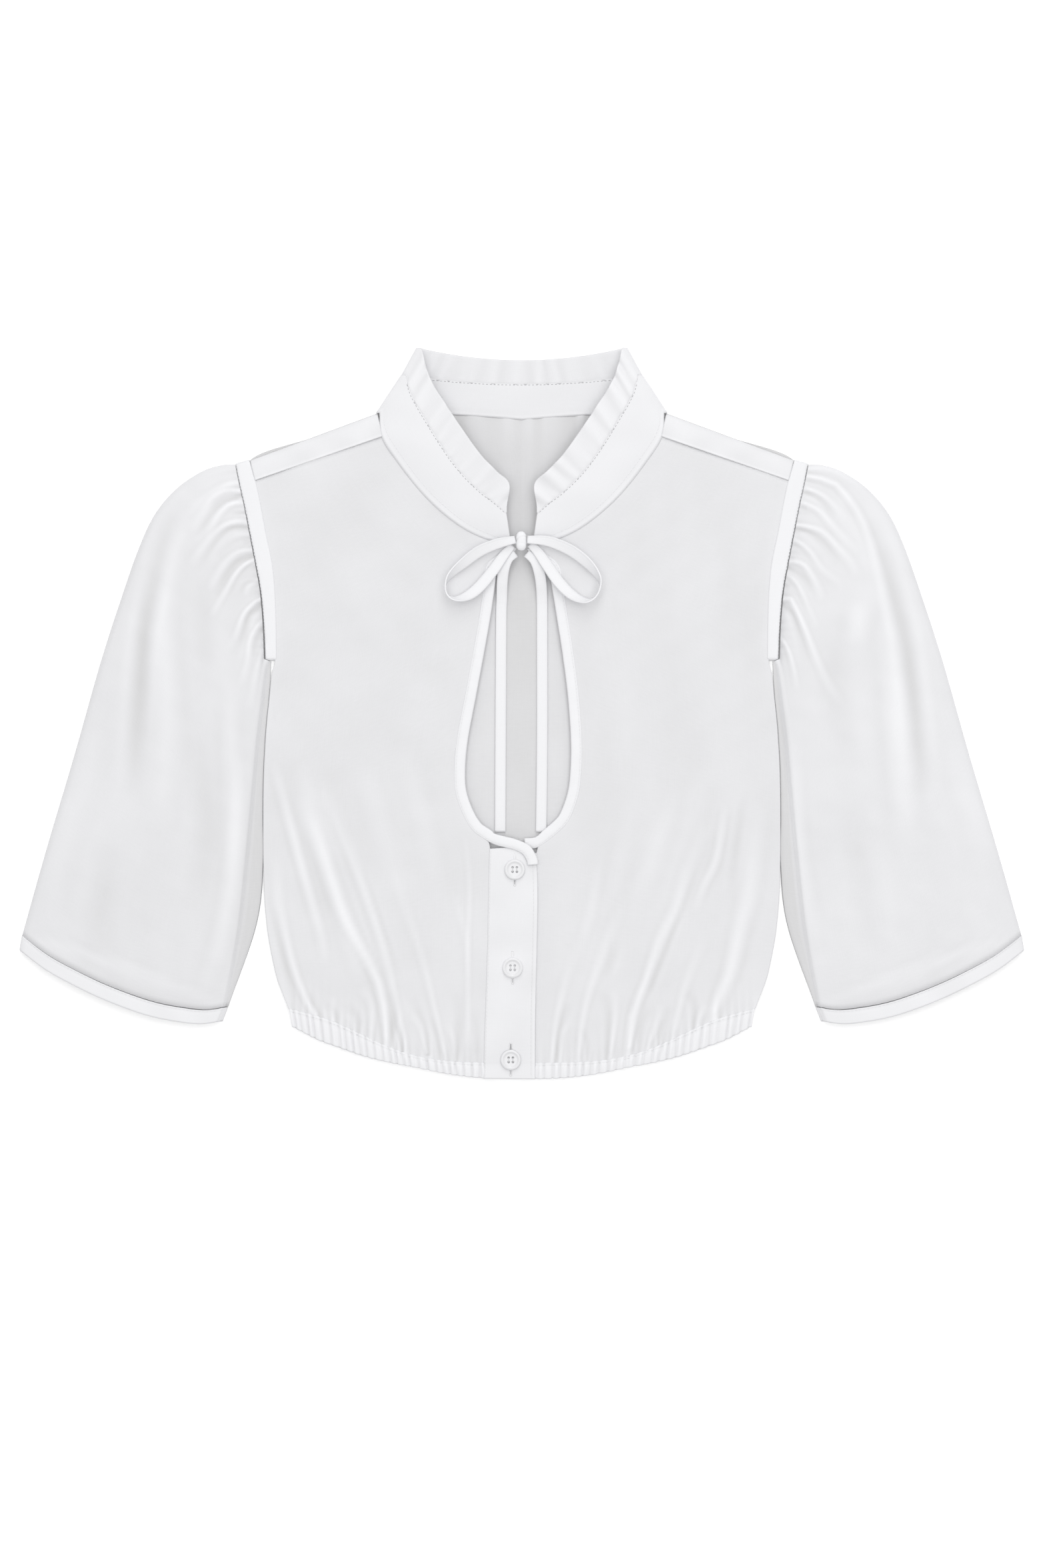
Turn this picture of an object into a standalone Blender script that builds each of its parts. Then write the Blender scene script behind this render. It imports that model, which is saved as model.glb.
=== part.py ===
"""White dirndl blouse, laid flat on its back with the front up.

Every cut piece is a closed wall of its own. Sizes are in millimetres until a mesh is made.
X runs across the blouse (minus is the wearer's right), Y runs towards the collar and Z up.
The tables describe one half, with X counted outwards from the centre front.
"""
import math

import bmesh
import bpy
import numpy as np

MM = 0.001

# Cloth walls and the room between them
SHEER = 1.0
DOUBLE = 1.4
GAP = 0.3
SECOND_LAYER = SHEER + GAP
STEEPEST = 0.6

# Sizes that drive the pieces
BINDING_WIDTH = 7.5
BINDING_WALL = 1.6
TIE_WALL = 1.0
PLACKET_WALL = 1.2
CASING_WALL = 2.0
SLEEVE_HEM_HEIGHT = 10.4
BUTTON_SIDES = 18
BUTTON_HOLE_SIDES = 6
BUTTON_HOLE_RADIUS = 0.9
BUTTON_HOLE_SPACING = 1.5
BUTTON_HOLE_DEPTH = 8.0
BUTTON_PLACES = ((-5.0, -110.0), (-6.5, -179.1), (-7.8, -243.9))
# Turned section of a button from its underside to its dish, columns: radius, z
BUTTON_PROFILE = (
    (0.0, 0.0), (6.0, 0.0), (7.0, 0.9), (6.7, 2.0), (5.6, 2.4), (4.6, 1.7), (0.0, 1.7),
)

# How many of each gather, and how high they stand
BODY_COLUMNS = 18
HEM_GATHERS_FRONT = 26
HEM_GATHERS_BACK = 40
HEM_GATHER_RISE = 0.5
HEM_PUCKER_RISE = 0.7
HEM_GATHER_RISE_BACK = 0.3
FOLD_SHARE_AT_HEM = 0.4
NECK_GATHERS_BACK = 8
NECK_GATHER_RISE = 0.8
SLEEVE_GATHERS_FRONT = 11
SLEEVE_GATHERS_BACK = 8
RUFFLE_WAVES_BACK = 11
RUFFLE_RISE_FRONT = 1.5
RUFFLE_RISE_BACK = 1.2

# Heights of the layers at the centre front, middle of each wall
STAND_UNDER_Z = 3.65
PLACKET_Z = 5.25
HEM_FRONT_Z = 4.5
HEM_BACK_Z = 1.3
BACK_LAYER_Z = 0.7

# Front panel, one row for each section from the shoulder to the hem.
# Columns: side x, side y, right inner x and y, left inner x and y, z at side, middle, right, left
FRONT_SECTIONS = (
    (188.0, 164.0, 98.2, 194.7, 98.2, 194.7, 3.2, 4.6, 6.4, 6.4),
    (184.5, 148.0, 86.9, 176.7, 86.9, 176.7, 3.2, 4.8, 6.6, 6.6),
    (180.8, 128.0, 71.9, 157.4, 71.9, 157.4, 3.2, 4.8, 6.8, 6.8),
    (176.2, 105.8, 57.8, 143.3, 57.8, 143.3, 3.2, 4.6, 6.8, 6.8),
    (174.2, 85.0, 41.8, 131.1, 41.8, 131.1, 3.2, 4.4, 6.6, 6.6),
    (173.4, 62.0, 26.0, 123.3, 26.0, 123.3, 3.0, 4.2, 6.4, 6.4),
    (173.2, 38.5, 11.0, 117.0, 11.0, 117.0, 2.6, 4.0, 6.2, 6.2),
    (175.5, 28.0, 24.0, 105.3, 25.4, 105.3, 2.0, 3.8, 5.6, 5.6),
    (176.9, 14.0, 26.6, 91.0, 28.6, 91.0, 1.9, 3.6, 5.0, 5.0),
    (178.8, -4.0, 29.4, 71.0, 31.8, 71.0, 1.8, 3.4, 4.6, 4.6),
    (180.2, -24.0, 34.3, 42.8, 36.2, 42.8, 1.8, 3.4, 4.4, 4.4),
    (181.0, -42.0, 40.1, 11.8, 40.1, 11.8, 1.8, 3.4, 4.3, 4.2),
    (181.4, -58.0, 45.9, -19.6, 42.2, -19.6, 1.8, 3.4, 4.3, 4.0),
    (181.5, -74.0, 47.6, -42.9, 41.7, -42.9, 1.8, 3.4, 4.4, 3.9),
    (181.5, -88.0, 46.1, -58.5, 39.5, -58.5, 1.8, 3.4, 4.6, 3.8),
    (181.4, -101.0, 40.1, -74.1, 33.8, -74.1, 1.8, 3.4, 4.9, 3.7),
    (181.2, -112.0, 33.4, -83.7, 27.7, -81.8, 1.8, 3.4, 5.2, 3.6),
    (180.9, -123.0, 25.2, -90.0, 18.5, -89.8, 1.8, 3.4, 5.3, 3.6),
    (180.2, -136.0, 23.5, -102.0, 11.7, -98.0, 1.8, 3.4, 5.3, 3.6),
    (178.4, -154.0, 24.1, -130.0, 11.7, -130.0, 1.8, 3.4, 5.3, 3.6),
    (175.6, -170.0, 24.8, -160.0, 11.3, -160.0, 1.9, 3.5, 5.3, 3.6),
    (172.0, -186.0, 25.9, -195.0, 10.5, -195.0, 2.2, 3.7, 5.2, 3.7),
    (167.6, -198.0, 26.7, -232.0, 10.0, -232.0, 3.0, 4.2, 5.0, 4.1),
    (163.4, -208.5, 27.3, -246.4, 9.9, -246.4, 4.5, 4.5, 4.5, 4.5),
)
ARMHOLE_SECTIONS = 7
KEYHOLE_SECTIONS = range(6, 18)

# Shoulder fold from the armhole to the collar, and how the band between it and the front turns
SHOULDER_LINE = ((191.6, 177.9), (101.6, 211.1))
SHOULDER_TURN = 0.65
SHOULDER_CROWN = 0.4

# Long soft folds that fan from the hem towards the side.
# Columns: hem x, hem y, middle x, middle y, top x, top y, half width, height
BODY_FOLDS = (
    (46.5, -240.0, 62.0, -203.0, 77.0, -160.0, 7.0, 1.6),
    (67.7, -231.0, 95.9, -175.8, 121.7, -96.4, 8.0, 2.4),
    (88.0, -225.0, 120.9, -160.5, 165.0, -48.0, 9.0, 2.6),
    (114.0, -220.0, 128.0, -178.0, 140.0, -140.0, 6.5, 1.4),
    (136.0, -214.0, 152.0, -142.9, 168.6, -42.0, 7.0, 2.0),
)

# Seam line that sets the elastic hem casing, columns: x, top y, bottom y
CASING_EDGES = (
    (0.0, -246.8, -257.4),
    (28.2, -246.4, -256.9),
    (49.1, -245.6, -254.6),
    (77.1, -241.0, -249.1),
    (95.9, -234.5, -245.6),
    (112.3, -226.8, -241.6),
    (133.5, -217.1, -234.4),
    (142.6, -214.0, -231.2),
    (163.4, -208.5, -220.7),
)
HEM_HALF = CASING_EDGES[-1][0]
CASING_TAPER = 0.988
CASING_SCALLOP = 0.4
# How a casing's section follows the gathers of its top line
# Columns: share of the way down, share of the gather, height above the top line
CASING_SECTION = ((0.0, 1.0, 0.0), (0.5, 0.6, 0.3), (1.0, 0.8, -0.2))

# Armhole band, columns: body side x and y, sleeve side x and y, z of the front layer
ARMHOLE = (
    (192.2, 177.7, 201.2, 175.3, 2.6),
    (188.0, 164.0, 198.3, 161.5, 3.2),
    (184.5, 148.0, 195.0, 147.0, 3.2),
    (180.8, 128.0, 191.0, 127.0, 3.2),
    (176.2, 105.8, 186.6, 104.5, 3.2),
    (174.2, 85.0, 183.2, 85.0, 3.2),
    (173.4, 62.0, 181.2, 62.0, 3.0),
    (173.2, 38.5, 180.3, 38.5, 2.6),
)
ARMHOLE_BACK = (0, 2, 4, 6, 7)

# Back panel down to the hem, columns: half width, y at the side, y at the centre
BACK_SECTIONS = (
    (101.8, 211.4, 206.9),
    (118.0, 205.2, 199.0),
    (146.0, 194.8, 189.0),
    (192.2, 177.7, 174.0),
    (184.5, 148.0, 147.0),
    (176.2, 105.8, 106.0),
    (173.4, 62.0, 62.0),
    (173.2, 38.5, 38.5),
    (175.5, 28.0, 28.0),
    (179.8, -20.0, -20.0),
    (181.5, -80.0, -80.0),
    (180.2, -136.0, -140.0),
    (172.0, -186.0, -200.0),
)
BACK_COLUMNS = 10
NECK_FLAT_COLUMNS = 2
# Share of the neck gathers' height in each of the back's first rows
NECK_GATHER_FADE = (0.0, 1.0, 0.5)
# Gathered rows above the back casing, columns: half width, distance above it, z
BACK_HEM_ROWS = ((167.6, 12.0, 0.9), (HEM_HALF, 0.0, HEM_BACK_Z))

# Collar front, one row for each station from the shoulder fold to the tie.
# Columns: neck x, y, z, then seam x, y, z, then ruffle edge x, y, z
COLLAR_FRONT = (
    (99.8, 211.9, 4.6, 81.5, 238.3, 6.8, 70.8, 257.1, 7.8),
    (98.2, 194.7, 6.4, 77.0, 224.0, 9.6, 64.5, 235.5, 11.0),
    (86.9, 176.7, 6.6, 66.0, 204.5, 11.0, 52.0, 214.8, 13.0),
    (71.9, 157.4, 6.8, 53.5, 184.3, 11.6, 39.5, 196.2, 14.0),
    (57.8, 143.3, 6.8, 42.0, 169.0, 11.6, 28.7, 181.4, 14.0),
    (41.8, 131.1, 6.6, 29.5, 156.5, 11.0, 17.5, 169.8, 13.2),
    (26.0, 123.3, 6.4, 18.3, 147.6, 10.0, 8.9, 161.2, 12.0),
    (7.5, 118.5, 6.2, 10.8, 140.5, 9.0, 9.6, 143.6, 9.6),
)
RUFFLE_STEPS = 3
# Rounded front end of the ruffle, columns: seam x, y, z, edge x, y, z
RUFFLE_END = (
    (15.6, 145.1, 9.7, 5.9, 154.0, 11.4),
    (12.9, 142.5, 9.3, 6.6, 147.6, 10.4),
)
NECK_FOLD = (102.0, 211.9)
SEAM_FOLD = (84.6, 238.3)
EDGE_FOLD = (74.3, 257.1)
FOLD_ANGLES = (-45, 0, 45)
# Heights of the back neck, ruffle seam and ruffle edge at the centre and their rise at the fold
BACK_NECK = (207.3, 4.6, 102.0)
BACK_SEAM = (232.6, 5.7, 84.6)
BACK_EDGE = (248.8, 9.0, 74.3)
STAND_BACK_STEPS = 8
STAND_CROWN = 0.6

# Sleeve, one row for each ring from the armhole to the hem band.
# Columns: way along, outer x, y, front fold x, y, inner x, y, crown height, pucker height
SLEEVE_SECTIONS = (
    (0.00, 202.0, 175.1, 178.4, 37.0, 176.8, 37.2, 0.0, 0.9),
    (0.03, 212.0, 174.6, 179.4, 31.0, 177.0, 31.0, 4.6, 1.8),
    (0.07, 226.0, 170.0, 180.8, 20.0, 177.5, 20.0, 7.6, 1.6),
    (0.13, 243.6, 157.9, 182.3, 6.0, 178.7, 6.0, 9.4, 1.2),
    (0.19, 258.6, 140.1, 184.0, -8.0, 180.2, -8.0, 10.2, 0.8),
    (0.26, 269.6, 116.8, 185.8, -24.0, 181.3, -24.0, 10.2, 0.4),
    (0.35, 281.6, 82.8, 187.6, -44.0, 182.2, -44.0, 9.4, 0.0),
    (0.47, 296.6, 36.3, 190.2, -72.0, 182.5, -72.0, 8.2, 0.0),
    (0.64, 315.6, -30.7, 193.8, -108.0, 182.3, -108.0, 6.8, 0.0),
    (0.82, 334.6, -94.7, 199.0, -153.0, 187.2, -149.5, 5.8, 0.0),
    (1.00, 352.0, -156.5, 208.9, -206.5, 207.0, -206.8, 5.2, 0.0),
)
# Lower edge of the sleeve from the outer to the inner corner, columns: x, y
SLEEVE_EDGE = (
    (353.8, -166.8), (335.1, -180.5), (316.3, -190.8), (297.5, -199.8), (278.7, -207.3),
    (259.9, -213.4), (241.1, -217.1), (222.3, -218.7), (211.0, -216.9),
)
SLEEVE_BASE_Z = 3.0
SLEEVE_LOWER_Z = 0.5
SLEEVE_PRESSED_Z = 1.9
SLEEVE_STEP = 1.2
SLEEVE_SETBACK = 0.8
SLEEVE_TURN = 0.7
SLEEVE_FOLD_INSET = 1.9
# Way up the hem band at its outer end and how that changes towards its inner end
SLEEVE_HEM_LEAN = (-0.17, 0.985)
SLEEVE_HEM_LEAN_CHANGE = (-0.19, -0.05)
CROWN_REACH = 0.86
CROWN_SKEW = 0.75
CROWN_FULLNESS = 0.6
UNDERARM = (176.8, 37.2)
GATHERED_SHARE = 0.7
SMOOTH_SHARES = (0.79, 0.88, 0.968)

# Lower ends of the two keyhole bindings, columns: outer x, y, inner x, y, z
BINDING_END_RIGHT = (
    (-19.1, -92.4, -18.9, -84.9, 6.2),
    (-12.0, -94.3, -11.6, -86.8, 7.1),
    (-4.6, -96.3, -3.6, -88.9, 7.1),
    (0.6, -99.2, 5.6, -93.4, 7.1),
    (3.4, -103.6, 10.6, -101.6, 7.1),
    (4.0, -107.0, 11.4, -106.4, 7.1),
)
BINDING_END_LEFT = (
    (10.8, -94.6, 9.6, -87.2, 3.45),
    (2.2, -95.4, 1.8, -88.0, 3.45),
)

# Placket strip from top to bottom, columns: left x, left y, right x, right y
PLACKET = (
    (-22.6, -95.4, 1.4, -93.9),
    (-22.8, -98.6, 7.3, -97.8),
    (-23.0, -105.6, 10.2, -105.3),
    (-23.6, -130.0, 11.0, -130.0),
    (-24.3, -168.0, 10.4, -168.0),
    (-25.5, -206.0, 9.5, -206.0),
    (-26.4, -235.0, 9.3, -235.0),
    (-26.8, -257.2, 9.3, -257.6),
)
# Button stand under the placket, columns: left x, right x, y
BUTTON_STAND = (
    (-19.7, 10.9, -98.4),
    (-19.8, 11.0, -130.0),
    (-20.0, 10.4, -168.0),
    (-20.4, 9.6, -206.0),
    (-20.8, 9.2, -257.0),
)

# Bow and tails, columns: x, y, z, tilt in degrees, width
LOOP_RIGHT = (
    (-4.6, 121.9, 13.0, 0.0, 5.0),
    (-16.9, 119.0, 12.6, 12.0, 7.0),
    (-29.6, 113.7, 11.8, 20.0, 8.0),
    (-40.4, 105.6, 11.4, 32.0, 8.0),
    (-50.0, 96.8, 11.8, 60.0, 7.5),
    (-53.6, 90.0, 12.4, 90.0, 7.5),
    (-53.0, 84.6, 12.4, 90.0, 7.5),
    (-49.4, 81.2, 12.2, 78.0, 7.5),
    (-43.6, 80.9, 11.6, 55.0, 7.5),
    (-36.4, 83.6, 11.0, 30.0, 8.0),
    (-29.0, 89.8, 10.4, 16.0, 8.0),
    (-20.2, 100.4, 9.8, 8.0, 7.5),
    (-12.9, 110.6, 9.4, 0.0, 6.5),
    (-6.6, 117.8, 9.3, 0.0, 4.6),
)
LOOP_LEFT = (
    (3.8, 121.9, 13.0, 0.0, 5.0),
    (18.4, 120.6, 12.6, 12.0, 7.0),
    (33.4, 114.7, 11.8, 20.0, 8.0),
    (45.6, 105.6, 11.4, 32.0, 8.0),
    (53.2, 96.2, 11.8, 60.0, 7.5),
    (55.2, 89.0, 12.4, 90.0, 7.5),
    (53.0, 83.2, 12.4, 90.0, 7.5),
    (48.6, 79.8, 12.2, 78.0, 7.5),
    (42.6, 79.7, 11.6, 55.0, 7.5),
    (34.2, 84.0, 11.0, 30.0, 8.0),
    (25.6, 92.8, 10.4, 16.0, 8.0),
    (17.4, 104.6, 9.8, 8.0, 7.5),
    (11.2, 113.4, 9.4, 0.0, 6.5),
    (5.8, 118.8, 9.3, 0.0, 4.6),
)
TAIL_RIGHT = (
    (-4.4, 112.4, 8.0, 0.0, 5.5),
    (-9.4, 108.6, 8.0, 0.0, 6.5),
    (-12.6, 101.4, 7.4, 0.0, 7.5),
    (-13.8, 92.0, 5.4, 0.0, 7.5),
    (-14.2, 80.0, 2.6, 0.0, 7.5),
    (-14.6, 64.0, 1.9, 0.0, 7.5),
    (-15.0, -19.3, 1.9, 0.0, 7.5),
    (-15.3, -83.6, 1.9, 0.0, 7.5),
)
TAIL_LEFT = (
    (3.4, 112.4, 8.0, 0.0, 5.5),
    (8.8, 107.4, 8.0, 0.0, 6.5),
    (12.0, 100.1, 7.4, 0.0, 7.5),
    (13.6, 91.0, 5.4, 0.0, 7.5),
    (14.2, 80.0, 2.6, 0.0, 7.5),
    (14.3, 64.0, 1.9, 0.0, 7.5),
    (14.3, -19.3, 1.9, 0.0, 7.5),
    (13.6, -83.6, 1.9, 0.0, 7.5),
)
KNOT_CENTRE = (-0.4, 120.9, 12.0)
KNOT_HALF = (3.9, 6.6, 3.4)

# Colour, roughness of each kind of cloth and of the buttons
FINISHES = {
    "sheer": ((0.86, 0.86, 0.87), 0.85),
    "double": ((0.93, 0.93, 0.94), 0.8),
    "button": ((0.9, 0.9, 0.91), 0.25),
}


def remove_everything():
    for old in list(bpy.data.objects):
        bpy.data.objects.remove(old, do_unlink=True)


def finish(name, kind):
    """A material of the piece's own, in the colour of its kind."""
    colour, roughness = FINISHES[kind]
    material = bpy.data.materials.new(name)
    material.use_nodes = True
    shader = material.node_tree.nodes["Principled BSDF"]
    shader.inputs["Base Color"].default_value = (*colour, 1.0)
    shader.inputs["Roughness"].default_value = roughness
    shader.inputs["Metallic"].default_value = 0.0
    return material


def place_mesh(name, points, faces, kind, mirrored=False):
    """Turn points in millimetres into a closed mesh with outward faces."""
    points = np.array(points, float) * MM
    if mirrored:
        points[:, 0] *= -1
    mesh = bpy.data.meshes.new(name)
    mesh.from_pydata(points.tolist(), [], [list(map(int, face)) for face in faces])
    shape = bmesh.new()
    shape.from_mesh(mesh)
    bmesh.ops.triangulate(shape, faces=shape.faces[:])
    bmesh.ops.recalc_face_normals(shape, faces=shape.faces[:])
    if shape.calc_volume(signed=True) < 0:
        bmesh.ops.reverse_faces(shape, faces=shape.faces[:])
    shape.to_mesh(mesh)
    shape.free()
    mesh.materials.append(finish(name, kind))
    piece = bpy.data.objects.new(name, mesh)
    bpy.context.scene.collection.objects.link(piece)
    return piece


def unit(vector):
    return vector / max(np.linalg.norm(vector), 1e-9)


def moved(point, towards, distance):
    """The point, moved a distance towards another in the plane of the floor."""
    point, towards = np.array(point, float), np.array(towards, float)
    step = np.zeros(len(point))
    step[:2] = unit(towards[:2] - point[:2]) * distance
    return point + step


def smooth(place, xs, ys):
    """Cubic through a table's points, with slopes from their neighbours."""
    xs, ys = np.array(xs, float), np.array(ys, float)
    slopes = np.gradient(ys, xs)
    place = min(max(place, xs[0]), xs[-1])
    i = min(int(np.searchsorted(xs, place, side="right")) - 1, len(xs) - 2)
    width = xs[i + 1] - xs[i]
    t = (place - xs[i]) / width
    rise = ys[i + 1] - ys[i]
    return (
        ys[i]
        + rise * t * t * (3 - 2 * t)
        + width * t * (1 - t) * (slopes[i] * (1 - t) - slopes[i + 1] * t)
    )


def along(points, share):
    """The point at a share of a polyline's length."""
    points = np.array(points, float)
    lengths = np.concatenate([[0], np.cumsum(np.linalg.norm(np.diff(points, axis=0), axis=1))])
    target = share * lengths[-1]
    return np.array([np.interp(target, lengths, points[:, axis]) for axis in range(points.shape[1])])


def zipped(first, second, closed):
    """Triangles between two rows of point numbers, which may differ in how many they hold."""
    if closed:
        first, second = first + first[:1], second + second[:1]
    triangles = []
    i = j = 0
    while i < len(first) - 1 or j < len(second) - 1:
        next_first = (i + 1) / (len(first) - 1)
        next_second = (j + 1) / (len(second) - 1)
        if j == len(second) - 1 or (i < len(first) - 1 and next_first <= next_second + 1e-9):
            triangles.append((first[i], second[j], first[i + 1]))
            i += 1
        else:
            triangles.append((first[i], second[j], second[j + 1]))
            j += 1
    return triangles


def wall(name, rows, thickness, kind, closed=False, upright=False, floor=None, mirrored=False):
    """A wall of even thickness about rows of points: a sheet, or a ring where closed is true."""
    middle = np.array([point for row in rows for point in row], float)
    numbers = []
    for row in rows:
        start = sum(len(done) for done in numbers)
        numbers.append(list(range(start, start + len(row))))
    triangles = np.array(
        [t for a, b in zip(numbers, numbers[1:]) for t in zipped(a, b, closed)]
    )
    corners = middle[triangles]
    across = np.cross(corners[:, 1] - corners[:, 0], corners[:, 2] - corners[:, 0])
    if closed:
        spokes = corners - middle.mean(axis=0)
        facing = np.einsum("ij,ij->i", spokes[:, 0], across).sum()
    else:
        facing = across[:, 2].sum()
    if facing < 0:
        triangles = triangles[:, ::-1]
        across = -across
    normals = np.zeros_like(middle)
    for corner in range(3):
        np.add.at(normals, triangles[:, corner], across)
    normals = normals / np.maximum(np.linalg.norm(normals, axis=1, keepdims=True), 1e-9)
    if upright:
        reach = 1 / np.maximum(normals[:, 2], STEEPEST)
        normals = np.tile((0.0, 0.0, 1.0), (len(middle), 1))
    else:
        flat = across / np.maximum(np.linalg.norm(across, axis=1, keepdims=True), 1e-9)
        lean = np.zeros(len(middle))
        uses = np.zeros(len(middle))
        for corner in range(3):
            match = np.einsum("ij,ij->i", normals[triangles[:, corner]], flat)
            np.add.at(lean, triangles[:, corner], match)
            np.add.at(uses, triangles[:, corner], 1)
        reach = 1 / np.maximum(lean / uses, STEEPEST)
    shift = normals * (thickness / 2 * reach)[:, None]
    top, bottom = middle + shift, middle - shift
    if floor is not None:
        top[:, 2] = np.maximum(top[:, 2], floor)
        bottom[:, 2] = np.maximum(bottom[:, 2], floor)
    count = len(middle)
    faces = [tuple(t) for t in triangles]
    faces += [tuple(t[::-1] + count) for t in triangles]
    if closed:
        loops = [numbers[0], numbers[-1]]
    else:
        right = [row[-1] for row in numbers[1:-1]]
        left = [row[0] for row in numbers[1:-1]]
        loops = [numbers[0] + right + numbers[-1][::-1] + left[::-1]]
    for loop in loops:
        for a, b in zip(loop, loop[1:] + loop[:1]):
            faces.append((a, b, b + count, a + count))
    return place_mesh(name, np.vstack([top, bottom]), faces, kind, mirrored)


def casing_top(x):
    xs, tops, _ = zip(*CASING_EDGES)
    return smooth(abs(x), xs, tops)


def casing_bottom(x):
    xs, _, bottoms = zip(*CASING_EDGES)
    return smooth(abs(x), xs, bottoms)


def fold_height(x, y):
    """Height that the long folds of the front add at a place."""
    height = 0.0
    for hem_x, hem_y, mid_x, mid_y, top_x, top_y, width, rise in BODY_FOLDS:
        line = ((hem_x, hem_y), (mid_x, mid_y), (top_x, top_y))
        best, share = 1e9, 0.0
        for step in range(21):
            place = along(line, step / 20)
            distance = math.hypot(x - place[0], y - place[1])
            if distance < best:
                best, share = distance, step / 20
        fade = math.sin(math.pi * (0.12 + 0.88 * share)) ** 0.7 if share < 1 else 0.0
        height += rise * fade * math.exp(-((best / width) ** 2))
    return height


def through_three(u, start, middle, end):
    """Parabola through heights at u = 0, a half and 1."""
    return (
        start * (1 - u) * (1 - 2 * u)
        + 4 * middle * u * (1 - u)
        + end * u * (2 * u - 1)
    )


def uneven(number):
    """A share between 0.6 and 1 that makes neighbouring gathers differ."""
    return 0.8 + 0.2 * math.sin(2.3 * number)


def gather(number, rise):
    return rise * (1 if number % 2 else -1) * uneven(number)


def front_rows(side):
    """Rows of a front panel from the shoulder to the hem, each from the side inwards."""
    inner_column = 4 if side == "left" else 2
    z_column = 9 if side == "left" else 8
    last = len(FRONT_SECTIONS) - 1
    hem = FRONT_SECTIONS[-1]
    rows = []
    for number, section in enumerate(FRONT_SECTIONS):
        outer = np.array(section[:2])
        inner = np.array(section[inner_column:inner_column + 2])
        start = moved(outer, inner, GAP) if number < ARMHOLE_SECTIONS else outer
        end = moved(inner, outer, GAP)
        down = number / last
        gathered = number >= last - 1
        columns = 2 * HEM_GATHERS_FRONT if gathered else BODY_COLUMNS
        row = []
        for i in range(columns + 1):
            u = i / columns
            x, y = start + (end - start) * u
            hem_x = hem[0] + (hem[inner_column] - hem[0]) * u
            straight = hem[1] + (hem[inner_column + 1] - hem[1]) * u
            y += (casing_top(hem_x) - straight) * down ** 5
            z = through_three(u, section[6], section[7], section[z_column])
            if number == last:
                z += gather(i, HEM_GATHER_RISE)
            elif gathered:
                z += gather(i, HEM_PUCKER_RISE) + FOLD_SHARE_AT_HEM * fold_height(x, y)
            elif number >= ARMHOLE_SECTIONS:
                z += fold_height(x, y) * math.sin(math.pi * u) ** 0.5
            row.append((x, y, z))
        rows.append(row)
    return rows


def make_front(side, rows):
    wall(
        f"front_{side}", rows, SHEER, "sheer",
        upright=True, floor=SECOND_LAYER, mirrored=side == "right",
    )


def make_back():
    """One panel for the whole back, flat on the floor but for its gathers."""
    rows = []
    flat = NECK_FLAT_COLUMNS
    neck_columns = 2 * (NECK_GATHERS_BACK + flat)
    for number, (half, side_y, centre_y) in enumerate(BACK_SECTIONS):
        near_neck = number < len(NECK_GATHER_FADE)
        columns = neck_columns if near_neck else BACK_COLUMNS
        row = []
        for i in range(columns + 1):
            x = half * (2 * i / columns - 1)
            y = centre_y + (side_y - centre_y) * (1 - (1 - abs(x) / half) ** 2)
            z = SHEER / 2
            if near_neck and flat < i < columns - flat:
                z += NECK_GATHER_FADE[number] * NECK_GATHER_RISE * (i % 2)
            row.append((x, y, z))
        if number == 0:
            row = [(x, back_curve(BACK_NECK, x) - GAP, z) for x, _, z in row]
        rows.append(row)
    columns = 2 * HEM_GATHERS_BACK
    for half, above, level in BACK_HEM_ROWS:
        row = []
        for i in range(columns + 1):
            x = half * (2 * i / columns - 1)
            y = casing_top(x * HEM_HALF / half) + above
            row.append((x, y, level + gather(i, HEM_GATHER_RISE_BACK)))
        rows.append(row)
    wall("back", rows, SHEER, "sheer", upright=True, floor=0.0)


def make_shoulder_band(side, top_row):
    """Forward shoulder strip between the shoulder fold and the front panel's top."""
    start, end = np.array(SHOULDER_LINE)
    upper, lower = [], []
    for i, point in enumerate(top_row):
        u = i / (len(top_row) - 1)
        x, y = start + (end - start) * u
        upper.append((x, y, SECOND_LAYER + DOUBLE / 2))
        lower.append(moved(point, (x, y), GAP))
    middle = []
    for a, b in zip(upper, lower):
        z = a[2] + (b[2] - a[2]) * SHOULDER_TURN + SHOULDER_CROWN
        middle.append(((a[0] + b[0]) / 2, (a[1] + b[1]) / 2, z))
    wall(
        f"shoulder_band_{side}", [upper, middle, lower], DOUBLE, "double",
        upright=True, floor=SECOND_LAYER, mirrored=side == "right",
    )


def make_armhole_binding(side):
    """Flattened ring that binds the armhole seam, front layer and back layer."""
    body, sleeve = [], []
    for body_x, body_y, sleeve_x, sleeve_y, z in ARMHOLE:
        a = moved((body_x, body_y), (sleeve_x, sleeve_y), GAP)
        b = moved((sleeve_x, sleeve_y), (body_x, body_y), GAP)
        body.append((*a, z))
        sleeve.append((*b, z))
    for number in reversed(ARMHOLE_BACK):
        body_x, body_y, sleeve_x, sleeve_y, _ = ARMHOLE[number]
        a = moved((body_x, body_y), (sleeve_x, sleeve_y), GAP)
        b = moved((sleeve_x, sleeve_y), (body_x, body_y), GAP)
        body.append((*a, SHEER / 2))
        sleeve.append((*b, SHEER / 2))
    wall(
        f"armhole_binding_{side}", [body, sleeve], SHEER, "double",
        closed=True, floor=0.0, mirrored=side == "right",
    )


def back_curve(curve, x):
    """Shallow curve of the back neck, collar seam or ruffle edge."""
    centre, rise, half = curve
    share = min(abs(x) / half, 1.0)
    if curve is BACK_NECK:
        return centre + rise * (1 - (1 - share) ** 2)
    return centre + rise * share ** 2


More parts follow.
